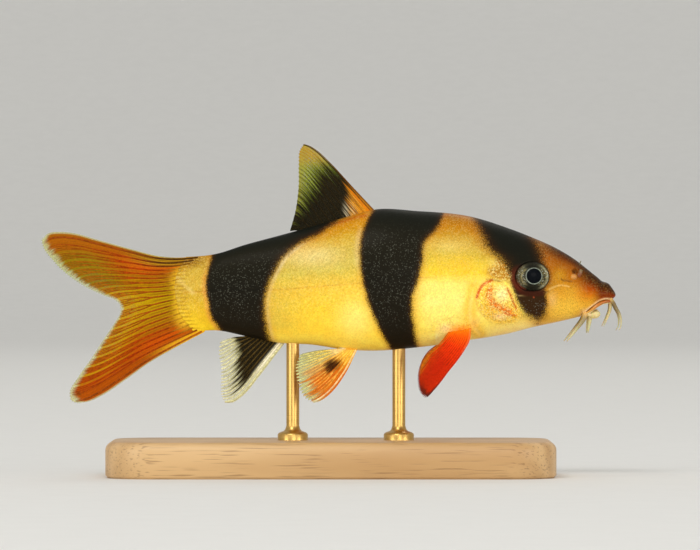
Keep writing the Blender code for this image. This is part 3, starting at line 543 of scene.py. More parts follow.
def wet_loach_skin():
    """Living skin under a film of slime: dark pigment grains 0.11 mm wide over a silvery layer whose
    cells, 0.15 mm wide, lie at slightly different tilts, so they glitter one by one as the light
    moves. Where the skin glitters most, some cells are also painted pale yellow, as painted glints
    in its colour. The surface over them has dimples 0.2 mm wide. The real cells are finer, and these
    are as coarse as they need to be to show."""
    finish, tree, place = new_finish("wet_loach_skin")
    times, plus, times_plus = ({"operation": name} for name in ("MULTIPLY", "ADD", "MULTIPLY_ADD"))
    soft = {"interpolation_type": "SMOOTHSTEP"}
    blend = {"data_type": "RGBA"}
    tint, ink = (node(tree, "ShaderNodeAttribute", {"attribute_name": name}).outputs["Color"]
                 for name in ("tint", "ink"))
    band, glint, grain, fleck = (node(tree, "ShaderNodeAttribute", {"attribute_name": name}).outputs["Fac"]
                                 for name in ("band", "glint", "grain", "fleck"))
    fine = node(tree, "ShaderNodeTexNoise", Vector=place, Scale=1 / (0.2 * MM), Detail=1.0)
    broad = node(tree, "ShaderNodeTexNoise", Vector=place, Scale=1 / (1.3 * MM), Detail=3.0)
    dust = node(tree, "ShaderNodeTexNoise", Vector=place, Scale=1 / (0.11 * MM), Detail=1.0)
    cells = node(tree, "ShaderNodeTexVoronoi", Vector=place, Scale=1 / (0.15 * MM))
    cell = node(tree, "ShaderNodeSeparateColor", Color=cells.outputs["Color"])
    sparks = node(tree, "ShaderNodeTexVoronoi", Vector=place, Scale=1 / (0.11 * MM))
    spark = node(tree, "ShaderNodeSeparateColor", Color=sparks.outputs["Color"])

    # The bands have a ragged edge
    rough_edge = node(tree, "ShaderNodeMath", times_plus, i0=dust, i1=2.6, i2=-1.3)
    wander = node(tree, "ShaderNodeMath", times_plus, i0=broad, i1=0.7, i2=-0.35)
    ragged = node(tree, "ShaderNodeMath", plus, i0=rough_edge, i1=wander)
    depth = node(tree, "ShaderNodeMath", plus, i0=band, i1=ragged)
    inked = node(tree, "ShaderNodeMapRange", soft, i0=depth, i1=-0.7, i2=0.6)
    plain = node(tree, "ShaderNodeMath", {"operation": "SUBTRACT"}, i0=1.0, i1=inked)

    # The cells differ in tone, and in places the skin is warmer
    contrast = node(tree, "ShaderNodeMath", times_plus, i0=glint, i1=0.5, i2=0.16)
    darkest = node(tree, "ShaderNodeMath", times_plus, i0=glint, i1=-0.25, i2=0.92)
    tone = node(tree, "ShaderNodeMath", times_plus, i0=cell.outputs[2], i1=contrast, i2=darkest)
    shade = node(tree, "ShaderNodeVectorMath", {"operation": "SCALE"}, i0=tint, Scale=tone)
    warm = node(tree, "ShaderNodeMix", {**blend, "blend_type": "MULTIPLY"}, i0=1.0, i6=shade,
                i7=rgba("#ffdca4"))
    warm_share = node(tree, "ShaderNodeMapRange", soft, i0=broad, i1=0.35, i2=0.65, i3=0.0, i4=0.22)
    warmed = node(tree, "ShaderNodeMix", blend, i0=warm_share, i6=shade, i7=warm)

    # Dark grains and ember cells lie over that, then pale cells painted in as glints
    dark_dust = node(tree, "ShaderNodeMapRange", soft, i0=dust, i1=0.46, i2=0.34)
    thickness = node(tree, "ShaderNodeMath", times, i0=grain, i1=0.42)
    dark_share = node(tree, "ShaderNodeMath", times, i0=dark_dust, i1=thickness)
    speckled = node(tree, "ShaderNodeMix", blend, i0=dark_share, i6=warmed, i7=rgba("#8a5412"))
    ember_cell = node(tree, "ShaderNodeMapRange", soft, i0=cell.outputs[1], i1=0.7, i2=0.8)
    glint_squared = node(tree, "ShaderNodeMath", times, i0=glint, i1=glint)
    ember = node(tree, "ShaderNodeMath", times, i0=glint_squared, i1=0.4)
    ember_share = node(tree, "ShaderNodeMath", times, i0=ember_cell, i1=ember)
    flushed = node(tree, "ShaderNodeMix", blend, i0=ember_share, i6=speckled, i7=rgba("#dc7420"))
    pale = node(tree, "ShaderNodeMix", blend, i0=0.65, i6=flushed, i7=rgba("#ffee92"))
    glint_cells = node(tree, "ShaderNodeMapRange", soft, i0=cell, i1=0.62, i2=0.74)
    glint_paint_share = node(tree, "ShaderNodeMath", times, i0=glint_cells, i1=glint)
    painted_glints = node(tree, "ShaderNodeMix", blend, i0=glint_paint_share, i6=flushed, i7=pale)
    bright_spark = node(tree, "ShaderNodeMapRange", soft, i0=spark, i1=0.88, i2=0.99)
    fleck_thickness = node(tree, "ShaderNodeMath", times, i0=fleck, i1=0.24)
    fleck_share = node(tree, "ShaderNodeMath", times, i0=bright_spark, i1=fleck_thickness)
    flecked = node(tree, "ShaderNodeMix", blend, i0=fleck_share, i6=ink, i7=rgba("#8d8f80"))
    colour = node(tree, "ShaderNodeMix", blend, i0=inked, i6=painted_glints, i7=flecked)

    # Each cell leans its own way, most where the skin glitters and not in the bands
    upright = node(tree, "ShaderNodeNewGeometry").outputs["Normal"]
    lean = node(tree, "ShaderNodeVectorMath", times_plus, i0=cells.outputs["Color"],
                i1=(2.0, 2.0, 2.0), i2=(-1.0, -1.0, -1.0))
    plain_glint = node(tree, "ShaderNodeMath", times, i0=plain, i1=glint)
    strength = node(tree, "ShaderNodeMath", times_plus, i0=plain_glint, i1=0.24, i2=0.04)
    leaning = node(tree, "ShaderNodeVectorMath", {"operation": "SCALE"}, i0=lean, Scale=strength)
    tilted = node(tree, "ShaderNodeVectorMath", plus, i0=upright, i1=leaning)
    facets = node(tree, "ShaderNodeVectorMath", {"operation": "NORMALIZE"}, i0=tilted)
    dimples = node(tree, "ShaderNodeBump", Height=fine, Distance=0.02 * MM, Strength=0.4, Normal=facets)

    rough = node(tree, "ShaderNodeMapRange", soft, i0=inked, i3=0.36, i4=0.5)
    shine = node(tree, "ShaderNodeMapRange", soft, i0=inked, i3=0.14, i4=0.12)
    slime = node(tree, "ShaderNodeMapRange", soft, i0=inked, i3=0.05, i4=0.03)
    mirror = node(tree, "ShaderNodeMath", times, i0=glint, i1=0.25)
    silver = node(tree, "ShaderNodeMath", times, i0=plain, i1=mirror)
    shader = node(tree, "ShaderNodeBsdfPrincipled", Base_Color=colour, Metallic=silver, Roughness=rough,
                  IOR=1.4, Normal=dimples, Specular_IOR_Level=shine, Specular_Tint=rgba("#ffc866"),
                  Coat_Weight=slime, Coat_Roughness=0.2)
    node(tree, "ShaderNodeOutputMaterial", Surface=shader)
    return finish


def grid_faces(rows, columns, wrap):
    """Four-sided faces over a grid of places, closed round its columns or not."""
    faces = []
    for i in range(rows - 1):
        for j in range(columns if wrap else columns - 1):
            k = (j + 1) % columns
            faces.append((i * columns + j, i * columns + k, (i + 1) * columns + k, (i + 1) * columns + j))
    return faces


def fan(first, count, tip):
    """Three-sided faces from a ring of places to a single one that closes it."""
    return [(first + k, first + (k + 1) % count, tip) for k in range(count)]


def lifted(places):
    """Places measured from the fish's axis, as heights above the floor."""
    return np.asarray(places) + np.array([0.0, 0.0, AXIS_HEIGHT])


def make_skin():
    """Shapes and paints the skin. Its snout ends in one point, and its tail end in a flat row."""
    plain = skin_grid()
    rows = len(plain)
    tip = np.array([[SNOUT_TIP, 0.0, SNOUT_MIDDLE]])
    places = np.concatenate([sculpted(plain).reshape(-1, 3), tip])
    x, _, z = np.concatenate([plain.reshape(-1, 3), tip]).T
    ground, band, share = skin_paint(x, z)
    head = x > 14.5
    ground[head] = head_paint(ground[head], x[head], z[head])
    glint, grain, fleck = effects(x, z, share)
    ink = lay(
        shades(share, INK),
        ("#2e1c0e", 0.7 * bell(band - 0.3, 0.8)),
        ("#35200f", 0.8 * ease(x, 24.0, 26.0) * ease(-z, -0.4, 1.2)))
    ink[head] = eye_surround(ink[head], x[head], z[head])
    ground[head] = eye_surround(ground[head], x[head], z[head])
    faces = grid_faces(rows, SECTORS, True) + fan((rows - 1) * SECTORS, SECTORS, len(places) - 1)
    half = SECTORS // 2
    for k in range(-half // 2, half // 2):
        corners = [corner % SECTORS for corner in (k, k + 1, half - k - 1, half - k)]
        corners = tuple(dict.fromkeys(corners))
        if len(corners) > 2:
            faces.append(corners)
    return new_piece("skin", lifted(places), faces, wet_loach_skin(), tint=ground, ink=ink, band=band,
                     glint=glint, grain=grain, fleck=fleck)


skin = make_skin()
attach(skin, "root")
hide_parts("head", "torso", "tail_stalk", "gill_cover_left", "gill_cover_right")

# The eyes are firm balls under a clear, wet cornea: a round black pupil with a thin silver ring,
# then an olive iris dusted with gold and silver before and behind. Each sits in its skin socket.
EYE_SIZE = np.array([2.42, 1.5, 2.1])
EYE_SUNK = 0.75
PUPIL_SHIFT = (0.24, 0.12)
PUPIL = 1.03
EYE_RINGS = 108
EYE_SECTORS = 180


def clear_eye():
    """A cornea's polish over the iris: the coat gives the hard highlight, and the iris below it is
    satin, with flakes that catch the light. They are 0.13 mm wide, coarser than real, to show."""
    finish, tree, place = new_finish("clear_cornea_over_iris")
    times = {"operation": "MULTIPLY"}
    tint = node(tree, "ShaderNodeAttribute", {"attribute_name": "tint"})
    flakes = node(tree, "ShaderNodeAttribute", {"attribute_name": "glint"}).outputs["Fac"]
    cells = node(tree, "ShaderNodeTexVoronoi", Vector=place, Scale=1 / (0.13 * MM))
    cell = node(tree, "ShaderNodeSeparateColor", Color=cells.outputs["Color"])
    gold = node(tree, "ShaderNodeMapRange", i0=cell, i1=0.5, i2=0.75, i3=0.0, i4=0.7)
    pale = node(tree, "ShaderNodeMapRange", i0=cell.outputs[1], i1=0.75, i2=0.95, i3=0.0, i4=0.6)
    gold_share = node(tree, "ShaderNodeMath", times, i0=gold, i1=flakes)
    pale_share = node(tree, "ShaderNodeMath", times, i0=pale, i1=flakes)
    tone = node(tree, "ShaderNodeMath", {"operation": "MULTIPLY_ADD"}, i0=cell.outputs[2], i1=0.7, i2=0.65)
    mottled = node(tree, "ShaderNodeVectorMath", {"operation": "SCALE"}, i0=tint, Scale=tone)
    dusted = node(tree, "ShaderNodeMix", {"data_type": "RGBA"}, i0=gold_share, i6=mottled,
                  i7=rgba("#8f7b40"))
    bright = node(tree, "ShaderNodeMix", {"data_type": "RGBA"}, i0=pale_share, i6=dusted,
                  i7=rgba("#d2d6c4"))
    shader = node(tree, "ShaderNodeBsdfPrincipled", Base_Color=bright, Roughness=0.5,
                  Specular_IOR_Level=0.05, Coat_Weight=0.08, Coat_Roughness=0.02, Coat_IOR=1.33)
    node(tree, "ShaderNodeOutputMaterial", Surface=shader)
    return finish


def make_eye(word, side, finish):
    """A ball whose rings run round its sideways axis, painted from the pupil outwards."""
    lean = np.linspace(0, math.pi, EYE_RINGS + 2)[1:-1, None]
    turn = 2 * math.pi * np.arange(EYE_SECTORS)[None, :] / EYE_SECTORS
    unit = np.stack([np.sin(lean) * np.cos(turn), side * np.cos(lean) + 0 * turn,
                     np.sin(lean) * np.sin(turn)], axis=-1).reshape(-1, 3)
    unit = np.concatenate([unit, [[0.0, side, 0.0], [0.0, -side, 0.0]]])
    centre = np.array([EYE[0], side * (float(body_side(*EYE)) - EYE_SUNK), EYE[1]])
    ball = unit * EYE_SIZE
    out = np.hypot(ball[:, 0] - PUPIL_SHIFT[0], ball[:, 2] - PUPIL_SHIFT[1])
    edge = np.hypot(ball[:, 0] / EYE_SIZE[0], ball[:, 2] / EYE_SIZE[2])
    angle = np.arctan2(ball[:, 2], ball[:, 0])
    ahead, upward = np.cos(angle), np.abs(np.sin(angle))
    tint = shades(edge, [(0.0, "#2c2b20"), (0.5, "#35342a"), (0.62, "#45442f"), (0.72, "#2f2d20"),
                         (0.84, "#56523c"), (0.93, "#48422f"), (0.98, "#1c1a13"), (1.0, "#100f0b")])
    tint = lay(
        tint,
        ("#b0b08c", 0.5 * bell(edge - 0.87, 0.06) * ease(ahead, 0.35, 0.85)),
        ("#9c9064", 0.55 * bell(edge - 0.62, 0.05) * ease(-ahead, 0.4, 0.85)),
        ("#77765f", 0.5 * bell(edge - 0.78, 0.05) * ease(-ahead, 0.35, 0.8)),
        ("#7d5c42", 0.5 * bell(edge - 0.92, 0.06) * ease(-ahead, 0.5, 0.9)),
        ("#16150f", 0.85 * ease(upward, 0.72, 0.98)),
        ("#b4bfae", (0.75 - 0.2 * np.cos(angle - 0.9)) * bell(out - PUPIL - 0.07, 0.04)),
        ("#02050a", 1 - ease(out, PUPIL - 0.03, PUPIL + 0.03)),
        ("#d9694a", 0.9 * bell(edge - 0.93, 0.05) * ease(np.cos(angle - math.radians(218)), 0.86, 0.97)))
    flakes = ease(-upward, -0.85, -0.5) * ease(out, PUPIL + 0.15, PUPIL + 0.3) * ease(-edge, -0.98, -0.92)
    flakes *= 0.55 + 0.45 * ease(ahead, -0.2, 0.6)
    count = EYE_RINGS * EYE_SECTORS
    faces = grid_faces(EYE_RINGS, EYE_SECTORS, True) + fan(0, EYE_SECTORS, count)
    faces += fan(count - EYE_SECTORS, EYE_SECTORS, count + 1)
    piece = new_piece("eyeball_" + word, lifted(centre + ball), faces, finish, tint=tint, glint=flakes)
    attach(piece, "root")
    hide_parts("eye_" + word)


iris = clear_eye()
for side, word in ((-1, "right"), (1, "left")):
    make_eye(word, side, iris)

# The fins are thin clear membranes stretched over bony rays that fork as they go out. The membrane
# is a closed sheet blended from the fin's four borders, and each ray is a round strut along it.
FIN_SHEET = 0.05
FIN_SHEET_EDGE = 0.02
FORK = 0.4
FORK_BEND = 0.22
RAY_SIDES = 8
# Each fin's section gives its borders (lead, trail and edge), how its root is let into the body
# (sink, inward, gather), how its rays crowd to the front (crowd), how it stands off the middle
# plane (beside, splay), how deep its edge dips between the rays (notch), and the rays' radius and
# the share of it that is lost towards their tips (thick, taper).


def patch(lines, u, v):
    """Places inside four border lines: u runs from root to edge, and v from front to rear."""
    lead, trail = along(lines["lead"], u), along(lines["trail"], u)
    root = along(lines.get("root", [lines["lead"][0], lines["trail"][0]]), v)
    edge = along(lines["edge"], v ** lines.get("crowd", 1.0))
    u, v = u[..., None], v[..., None]
    border = (1 - v) * lead + v * trail + (1 - u) * root + u * edge
    inner, outer = ((1 - v) * np.array(lines["lead"][k]) + v * np.array(lines["trail"][k]) for k in (0, -1))
    return border - (1 - u) * inner - u * outer


def fin_flat(fin, u, v):
    """Places in the side view. A fin of two lobes has v from 0 at its top to 2 at its foot."""
    if "lobes" not in fin:
        return patch(fin, u, v)
    upper = patch(fin["lobes"][0], u, np.clip(v, 0, 1))
    lower = patch(fin["lobes"][1], u, np.clip(v - 1, 0, 1))
    return np.where(v[..., None] < 1, upper, lower)


def fin_place(fin, side, u, v):
    """Places on the middle of a fin in space. Paired fins lean out from the belly as they go down."""
    flat = fin_flat(fin, u, v)
    reach = np.linalg.norm(flat - fin_flat(fin, 0 * u, v), axis=-1)
    ripple = fin.get("ripple", 0.12) * np.sin(7.0 * v + 2.5 * u) * u
    y = side * (fin.get("beside", 0.0) + fin.get("splay", 0.0) * reach) + ripple
    return np.stack([flat[..., 0], y, flat[..., 1]], axis=-1)


def ray_tips(fin, v):
    """1 at the tip of a ray and 0 half way to the next, for a ragged edge."""
    phase = v * fin["rays"] / fin.get("span", 1) * (4 if "fork_again" in fin else 2)
    return 0.5 + 0.5 * np.cos(2 * math.pi * (phase - 0.5))


def fin_sheet(name, fin, side, paint, finish, rows, columns):
    """The membrane as a closed sheet, thinner towards its edge and a little ragged there."""
    u, v = np.meshgrid(np.linspace(0, 1, rows), np.linspace(0, fin.get("span", 1), columns), indexing="ij")
    reach = u * (1 - fin["notch"] * (1 - ray_tips(fin, v)) * u ** 6)
    sheet = fin_place(fin, side, reach, v)
    tint, cover = paint(u, v, sheet[..., 0], sheet[..., 2])
    inner = sheet[0] + np.array([fin["sink"][0], -side * fin.get("inward", 0.0), fin["sink"][1]])
    inner[:, 2] *= fin.get("gather", 1.0)
    sheet = np.concatenate([inner[None], sheet])
    tint = np.concatenate([tint[:1], tint])
    cover = np.concatenate([np.ones((1, columns)), cover])
    half = FIN_SHEET + (FIN_SHEET_EDGE - FIN_SHEET) * np.concatenate([u[:1], u])
    normal = np.cross(np.gradient(sheet, axis=0), np.gradient(sheet, axis=1))
    normal /= np.linalg.norm(normal, axis=2, keepdims=True)
    both = np.stack([sheet + normal * half[..., None], sheet - normal * half[..., None]])
    count = sheet.shape[0] * columns
    top = np.arange(count).reshape(sheet.shape[0], columns)
    faces = grid_faces(sheet.shape[0], columns, False)
    faces += [tuple(corner + count for corner in face[::-1]) for face in faces]
    rim = np.concatenate([top[0], top[1:, -1], top[-1, -2::-1], top[-2:0:-1, 0]])
    for a, b in zip(rim, np.roll(rim, -1)):
        faces.append((int(b), int(a), int(a + count), int(b + count)))
    layers = {"tint": np.tile(tint.reshape(-1, 3), (2, 1)), "cover": np.tile(cover.ravel(), 2)}
    return new_piece(name, lifted(both.reshape(-1, 3)), faces, finish, **layers)


def ray_lines(fin, side, paint):
    """Each ray as lines of (places, radius, colour). All but the outermost ones fork on their way
    out, and those of the tail fin fork again further on."""
    rays = fin["rays"]
    span = fin.get("span", 1)
    again = fin.get("fork_again", 1.0)
    spread = fin.get("spread", 0.25)
    gap = span / rays
    lines = []
    for k in range(rays):
        middle = span * (k + 0.5) / rays
        outer = k == 0 or (span > 1 and k == rays - 1)
        forks = [(0.0, 1.0, 0.0, 0.0)]
        if not outer:
            forks = [(0.0, FORK, 0.0, 0.0), (FORK, again, 0.0, -spread), (FORK, again, 0.0, spread)]
        if again < 1.0 and not outer:
            forks += [(again, 1.0, parent, parent + step) for parent in (-spread, spread)
                      for step in (-spread / 2, spread / 2)]
        for start, stop, parent, shift in forks:
            u = np.linspace(start, stop, 30 if outer else 18)
            v = middle + gap * (parent + (shift - parent) * ease(u, start, start + FORK_BEND))
            u = u * (1 - fin.get("bare", fin["notch"] * 0.2))
            places = fin_place(fin, side, u, v)
            tint, _ = paint(u, v, places[:, 0], places[:, 2], ray=True)
            radius = fin["thick"] * (1.1 if outer else 0.8 ** (start > 0) * 0.75 ** (parent != 0))
            radius = radius * (1 - fin.get("taper", 0.3) * u)
            lines.append((places, radius, tint))
    return lines


def tube_tree():
    """Geometry nodes that turn lines into tapered round struts. Each line's own radius is kept."""
    tree = bpy.data.node_groups.new("tapered_struts", "GeometryNodeTree")
    for name, way, kind in (("Lines", "INPUT", "Geometry"), ("Sides", "INPUT", "Int"),
                            ("Thickness", "INPUT", "Float"), ("Finish", "INPUT", "Material"),
                            ("Struts", "OUTPUT", "Geometry")):
        tree.interface.new_socket(name, in_out=way, socket_type="NodeSocket" + kind)
    given = node(tree, "NodeGroupInput")
    radius = node(tree, "GeometryNodeInputNamedAttribute", {"data_type": "FLOAT"}, Name="strut_radius")
    curve = node(tree, "GeometryNodeMeshToCurve", Mesh=given.outputs["Lines"])
    scaled = node(tree, "ShaderNodeMath", {"operation": "MULTIPLY"}, i0=radius.outputs[0],
                  i1=given.outputs["Thickness"])
    ring = node(tree, "GeometryNodeCurvePrimitiveCircle", Resolution=given.outputs["Sides"], Radius=1.0)
    tubes = node(tree, "GeometryNodeCurveToMesh", Curve=curve, Profile_Curve=ring, Scale=scaled,
                 Fill_Caps=True)
    rounded = node(tree, "GeometryNodeSetShadeSmooth", Geometry=tubes)
    whole = node(tree, "GeometryNodeRealizeInstances", Geometry=rounded)
    coated = node(tree, "GeometryNodeSetMaterial", Geometry=whole, Material=given.outputs["Finish"])
    node(tree, "NodeGroupOutput", Struts=coated)
    return tree


def make_tubes(name, lines, sides, finish, tree):
    """Runs the tree over the lines and keeps the outcome as a plain mesh."""
    places = np.concatenate([line[0] for line in lines])
    counts = [len(line[0]) for line in lines]
    starts = np.concatenate([[0], np.cumsum(counts)[:-1]])
    edges = [(int(s + i), int(s + i + 1)) for s, count in zip(starts, counts) for i in range(count - 1)]
    mesh = bpy.data.meshes.new(name)
    mesh.from_pydata((lifted(places) * MM).tolist(), edges, [])
    keep(mesh, strut_radius=np.concatenate([line[1] for line in lines]),
         tint=np.concatenate([line[2] for line in lines]))
    piece = bpy.data.objects.new(name, mesh)
    bpy.context.scene.collection.objects.link(piece)
    step = piece.modifiers.new("struts", "NODES")
    step.node_group = tree
    names = {socket.name: socket.identifier for socket in tree.interface.items_tree
             if socket.in_out == "INPUT"}
    step[names["Sides"]] = sides
    step[names["Thickness"]] = MM
    step[names["Finish"]] = finish
    made = bpy.data.meshes.new_from_object(piece.evaluated_get(bpy.context.evaluated_depsgraph_get()))
    piece.modifiers.clear()
    piece.data = made
    made.materials.clear()
    made.materials.append(finish)
    return piece


def fin_membrane():
    """Wet, clear skin a tenth of a millimetre thick, coloured by the pigment in it. Its cover says
    how much light the pigment stops, and a fine grain 0.2 mm wide runs through it."""
    finish, tree, place = new_finish("fin_membrane")
    tint = node(tree, "ShaderNodeAttribute", {"attribute_name": "tint"})
    cover = node(tree, "ShaderNodeAttribute", {"attribute_name": "cover"}).outputs["Fac"]
    grain = node(tree, "ShaderNodeTexNoise", Vector=place, Scale=1 / (0.2 * MM), Detail=2.0)
    tone = node(tree, "ShaderNodeMapRange", i0=grain, i1=0.3, i2=0.7, i3=0.92, i4=1.08)
    coloured = node(tree, "ShaderNodeMix", {"data_type": "RGBA", "blend_type": "MULTIPLY"}, i0=1.0,
                    i6=tint, i7=tone)
    dust = node(tree, "ShaderNodeMapRange", i0=grain, i1=0.35, i2=0.65, i3=-0.08, i4=0.08)
    dusted = node(tree, "ShaderNodeMath", {"operation": "ADD", "use_clamp": True}, i0=cover, i1=dust)
    bump = node(tree, "ShaderNodeBump", Height=grain, Distance=0.02 * MM, Strength=0.5)
    shader = node(tree, "ShaderNodeBsdfPrincipled", Base_Color=coloured, Roughness=0.36, Alpha=dusted,
                  Normal=bump, Specular_IOR_Level=0.1, Specular_Tint=rgba("#ffce74"))
    node(tree, "ShaderNodeOutputMaterial", Surface=shader)
    return finish


def fin_ray():
    """A bony ray under wet skin: satin, with joints every 0.28 mm as small rises in its bump."""
    finish, tree, place = new_finish("fin_ray_bone")
    tint = node(tree, "ShaderNodeAttribute", {"attribute_name": "tint"})
    joints = node(tree, "ShaderNodeTexVoronoi", Vector=place, Scale=1 / (0.28 * MM))
    part = node(tree, "ShaderNodeSeparateColor", Color=joints.outputs["Color"])
    tone = node(tree, "ShaderNodeMapRange", i0=part, i1=0.0, i2=1.0, i3=0.72, i4=1.25)
    coloured = node(tree, "ShaderNodeMix", {"data_type": "RGBA", "blend_type": "MULTIPLY"}, i0=1.0,
                    i6=tint, i7=tone)
    bump = node(tree, "ShaderNodeBump", Height=joints.outputs["Distance"], Distance=0.03 * MM,
                Strength=0.6)
    shader = node(tree, "ShaderNodeBsdfPrincipled", Base_Color=coloured, Roughness=0.34, Normal=bump,
                  Specular_IOR_Level=0.15, Specular_Tint=rgba("#ffce74"))
    node(tree, "ShaderNodeOutputMaterial", Surface=shader)
    return finish


def dress_fin(name, node_names, fin, side, paint, rows, columns):
    """A fin's membrane and its rays, both coloured by its paint."""
    membrane = fin_sheet(name + "_membrane", fin, side, paint, MEMBRANE, rows, columns)
    struts = make_tubes(name + "_rays", ray_lines(fin, side, paint), RAY_SIDES, RAY_BONE, STRUTS)
    for piece in (membrane, struts):
        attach(piece, "root")
    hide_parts(*node_names)


MEMBRANE = fin_membrane()
RAY_BONE = fin_ray()
STRUTS = tube_tree()


def uneven(v, seed, count):
    """A value from -1 to 1 that wanders from ray to ray, the same each time."""
    steps = np.random.default_rng(seed).uniform(-1, 1, count + 1)
    return np.interp(v, np.linspace(0, 1, count + 1), steps)


# The tail fin has two long lobes, orange red along their outer edges and yellow between the rays
# near the fork, with a clear pale margin. Twenty forked rays fan out from the end of the stalk.
TAIL_MIDDLE = [(-21.15, -0.85), (-25.0, -1.6), (-29.13, -2.7)]
UPPER_ROOT = [(-18.2, 4.7), (-19.6, 3.6), (-20.8, 2.2), (-21.15, 0.6), (-21.15, -0.85)]
LOWER_ROOT = [(-21.15, -0.85), (-20.9, -2.5), (-20.2, -4.2), (-19.0, -5.3), (-17.6, -5.85)]
TAIL_LOBES = [
    {"lead": [(-18.2, 4.7), (-21.6, 4.5), (-24.1, 4.75), (-27.45, 5.6), (-32.5, 7.0), (-35.85, 7.9),
              (-37.5, 8.05), (-39.2, 7.85), (-40.25, 7.0)],
     "trail": TAIL_MIDDLE,
     "edge": [(-40.25, 7.0), (-40.0, 6.0), (-38.4, 3.8), (-35.0, 0.95), (-31.6, -0.75), (-30.0, -1.4),
              (-29.35, -2.0), (-29.13, -2.7)],
     "root": UPPER_ROOT},
    {"lead": TAIL_MIDDLE,
     "trail": [(-17.6, -5.85), (-19.6, -6.9), (-21.6, -8.0), (-25.0, -9.95), (-28.3, -12.3), (-31.65, -14.55),
               (-33.3, -15.35), (-35.0, -15.75)],
     "edge": [(-29.13, -2.7), (-29.35, -3.4), (-30.0, -4.5), (-31.65, -6.95), (-33.3, -9.5),
              (-35.0, -11.9), (-36.3, -14.5), (-36.1, -15.3), (-35.0, -15.75)],
     "root": LOWER_ROOT},
]
TAIL = {
    "lobes": TAIL_LOBES, "rays": 20, "span": 2, "sink": (1.4, 0.0), "gather": 0.7, "notch": 0.01,
    "thick": 0.13, "fork_again": 0.7, "spread": 0.19, "bare": 0.02, "taper": 0.1, "ripple": 0.18,
}


def tail_paint(u, v, x, z, ray=False):
    """The tail fin's tint, and how much light it stops. U runs outwards and v from top to foot."""
    lobe = np.abs(v - 1)
    above = v < 1
    outwards = ease(u, 0.45, 0.8)
    fringe = ease(u + 0.012 * uneven(v / 2, 5, 120), 0.94, 0.985)
    hem = ease(lobe, 0.98, 0.992) * ease(u, 0.1, 0.25)
    on_ray = np.cos(math.pi * v * TAIL["rays"])
    midway = ease(on_ray, 0.3, 1.0) * ease(u, 0.02, 0.12) * ease(-u, -0.55, -0.35)
    between = ease(on_ray + 0.9 * u, 0.9, 1.7) * ease(u, 0.4, 0.75) * ease(-lobe, -0.88, -0.7)
    shaded = ease(-u, -0.52, -0.2) * ease(lobe, 0.66, 0.82) * above
    lower_foot = ease(-u, -0.45, -0.12) * ease(lobe, 0.8, 0.92) * ~above
    if ray:
        tint = lay(
            shades(lobe, [(0.0, "#96480a"), (0.3, "#94420a"), (0.55, "#a23806"), (0.8, "#9c3004"),
                          (1.0, "#8a4410")]),
            ("#5c340a", 0.45 * ease(-u, -0.35, -0.15)),
            ("#c89a24", 0.8 * ease(-u, -0.2, -0.03) * ease(-lobe, -0.9, -0.6)),
            ("#86560a", 0.7 * outwards * ease(lobe, 0.1, 0.4) * ease(-lobe, -0.95, -0.75) * above),
            ("#a85c0a", 0.6 * outwards * ease(-lobe, -0.9, -0.5)),
            ("#b4b684", 0.7 * fringe),
            ("#2e2410", 0.75 * shaded),
            ("#b8641a", 0.6 * lower_foot),
            ("#b8bd80", 0.5 * ease(lobe, 0.972, 0.98)))
    else:
        tint = lay(
            shades(lobe, [(0.0, "#b49206"), (0.25, "#b08406"), (0.42, "#ac7206"), (0.6, "#ac5c06"),
                          (0.85, "#ac5406"), (1.0, "#985c0a")]),
            ("#b88a0a", (0.75 - 0.4 * above) * ease(u, 0.5, 0.9) * ease(-lobe, -0.75, -0.35)),
            ("#a84004", 0.65 * ease(lobe, 0.4, 0.65) * ~above),
            ("#8a3e04", 0.32 * ease(uneven(v / 2, 6, 260), 0.0, 0.7) * ease(u, 0.1, 0.3)),
            ("#7c4c08", 0.55 * midway),
            ("#d05208", 0.65 * bell(lobe - 0.72, 0.12) * ease(-u, -0.6, -0.3) * ease(u, 0.02, 0.1)),
            ("#76680a", 0.85 * ease(u, 0.42, 0.8) * above * ease(lobe, 0.1, 0.4)
             * ease(-lobe, -0.95, -0.7)),
            ("#bc940e", (0.65 - 0.5 * above * ease(lobe, 0.15, 0.4)) * between),
            ("#e4b82c", 0.9 * ease(-u, -0.14, -0.01) * ease(-lobe, -0.85, -0.55)),
            ("#b48a1c", 0.8 * shaded),
            ("#3c2c10", 0.7 * shaded * ease(np.cos(2 * math.pi * (24 * v + 3.5 * u)), 0.0, 0.8)),
            ("#e6ae20", 0.85 * lower_foot),
            ("#c2cc84", 0.75 * fringe),
            ("#c6cc92", 0.7 * hem),
            ("#3c3414", 0.7 * spot(x, z, (-35.0, -14.3), 0.35)))
    cover = 1.0 - 0.16 * ease(u, 0.5, 0.9) * ease(-lobe, -0.75, -0.4) - 0.5 * fringe - 0.3 * hem
    return tint, cover


dress_fin("tail_fin", ["tail_fin_upper", "tail_fin_lower"], TAIL, 1, tail_paint, 110, 380)

# The dorsal fin is black for its lower two thirds, the black running out in streaks along its rays
# to a clear yellowish tip. Its front foot is orange, like the back below it.
DORSAL = {
    "lead": [(6.0, 11.1), (3.1, 14.2), (-0.3, 17.85), (-1.8, 19.25), (-3.0, 20.0), (-3.8, 20.25)],
    "trail": [(-4.3, 8.2), (-5.0, 8.25), (-5.7, 8.15)],
    "edge": [(-3.8, 20.25), (-4.3, 19.5), (-4.5, 17.3), (-4.5, 14.8), (-4.96, 10.9), (-5.7, 8.15)],
    "sink": (0.0, -1.2), "rays": 11, "crowd": 1.5, "notch": 0.01, "thick": 0.1,
}
DORSAL_BLACK_TOP = [(-6.0, 12.0), (-4.6, 12.9), (-2.8, 14.5), (-1.7, 16.0), (-0.7, 17.4), (0.7, 18.0),
                    (3.0, 18.4)]
DORSAL_WEDGE = [(1.3, 16.4), (2.0, 14.8), (2.4, 13.0), (2.4, 11.0), (2.4, 10.0)]


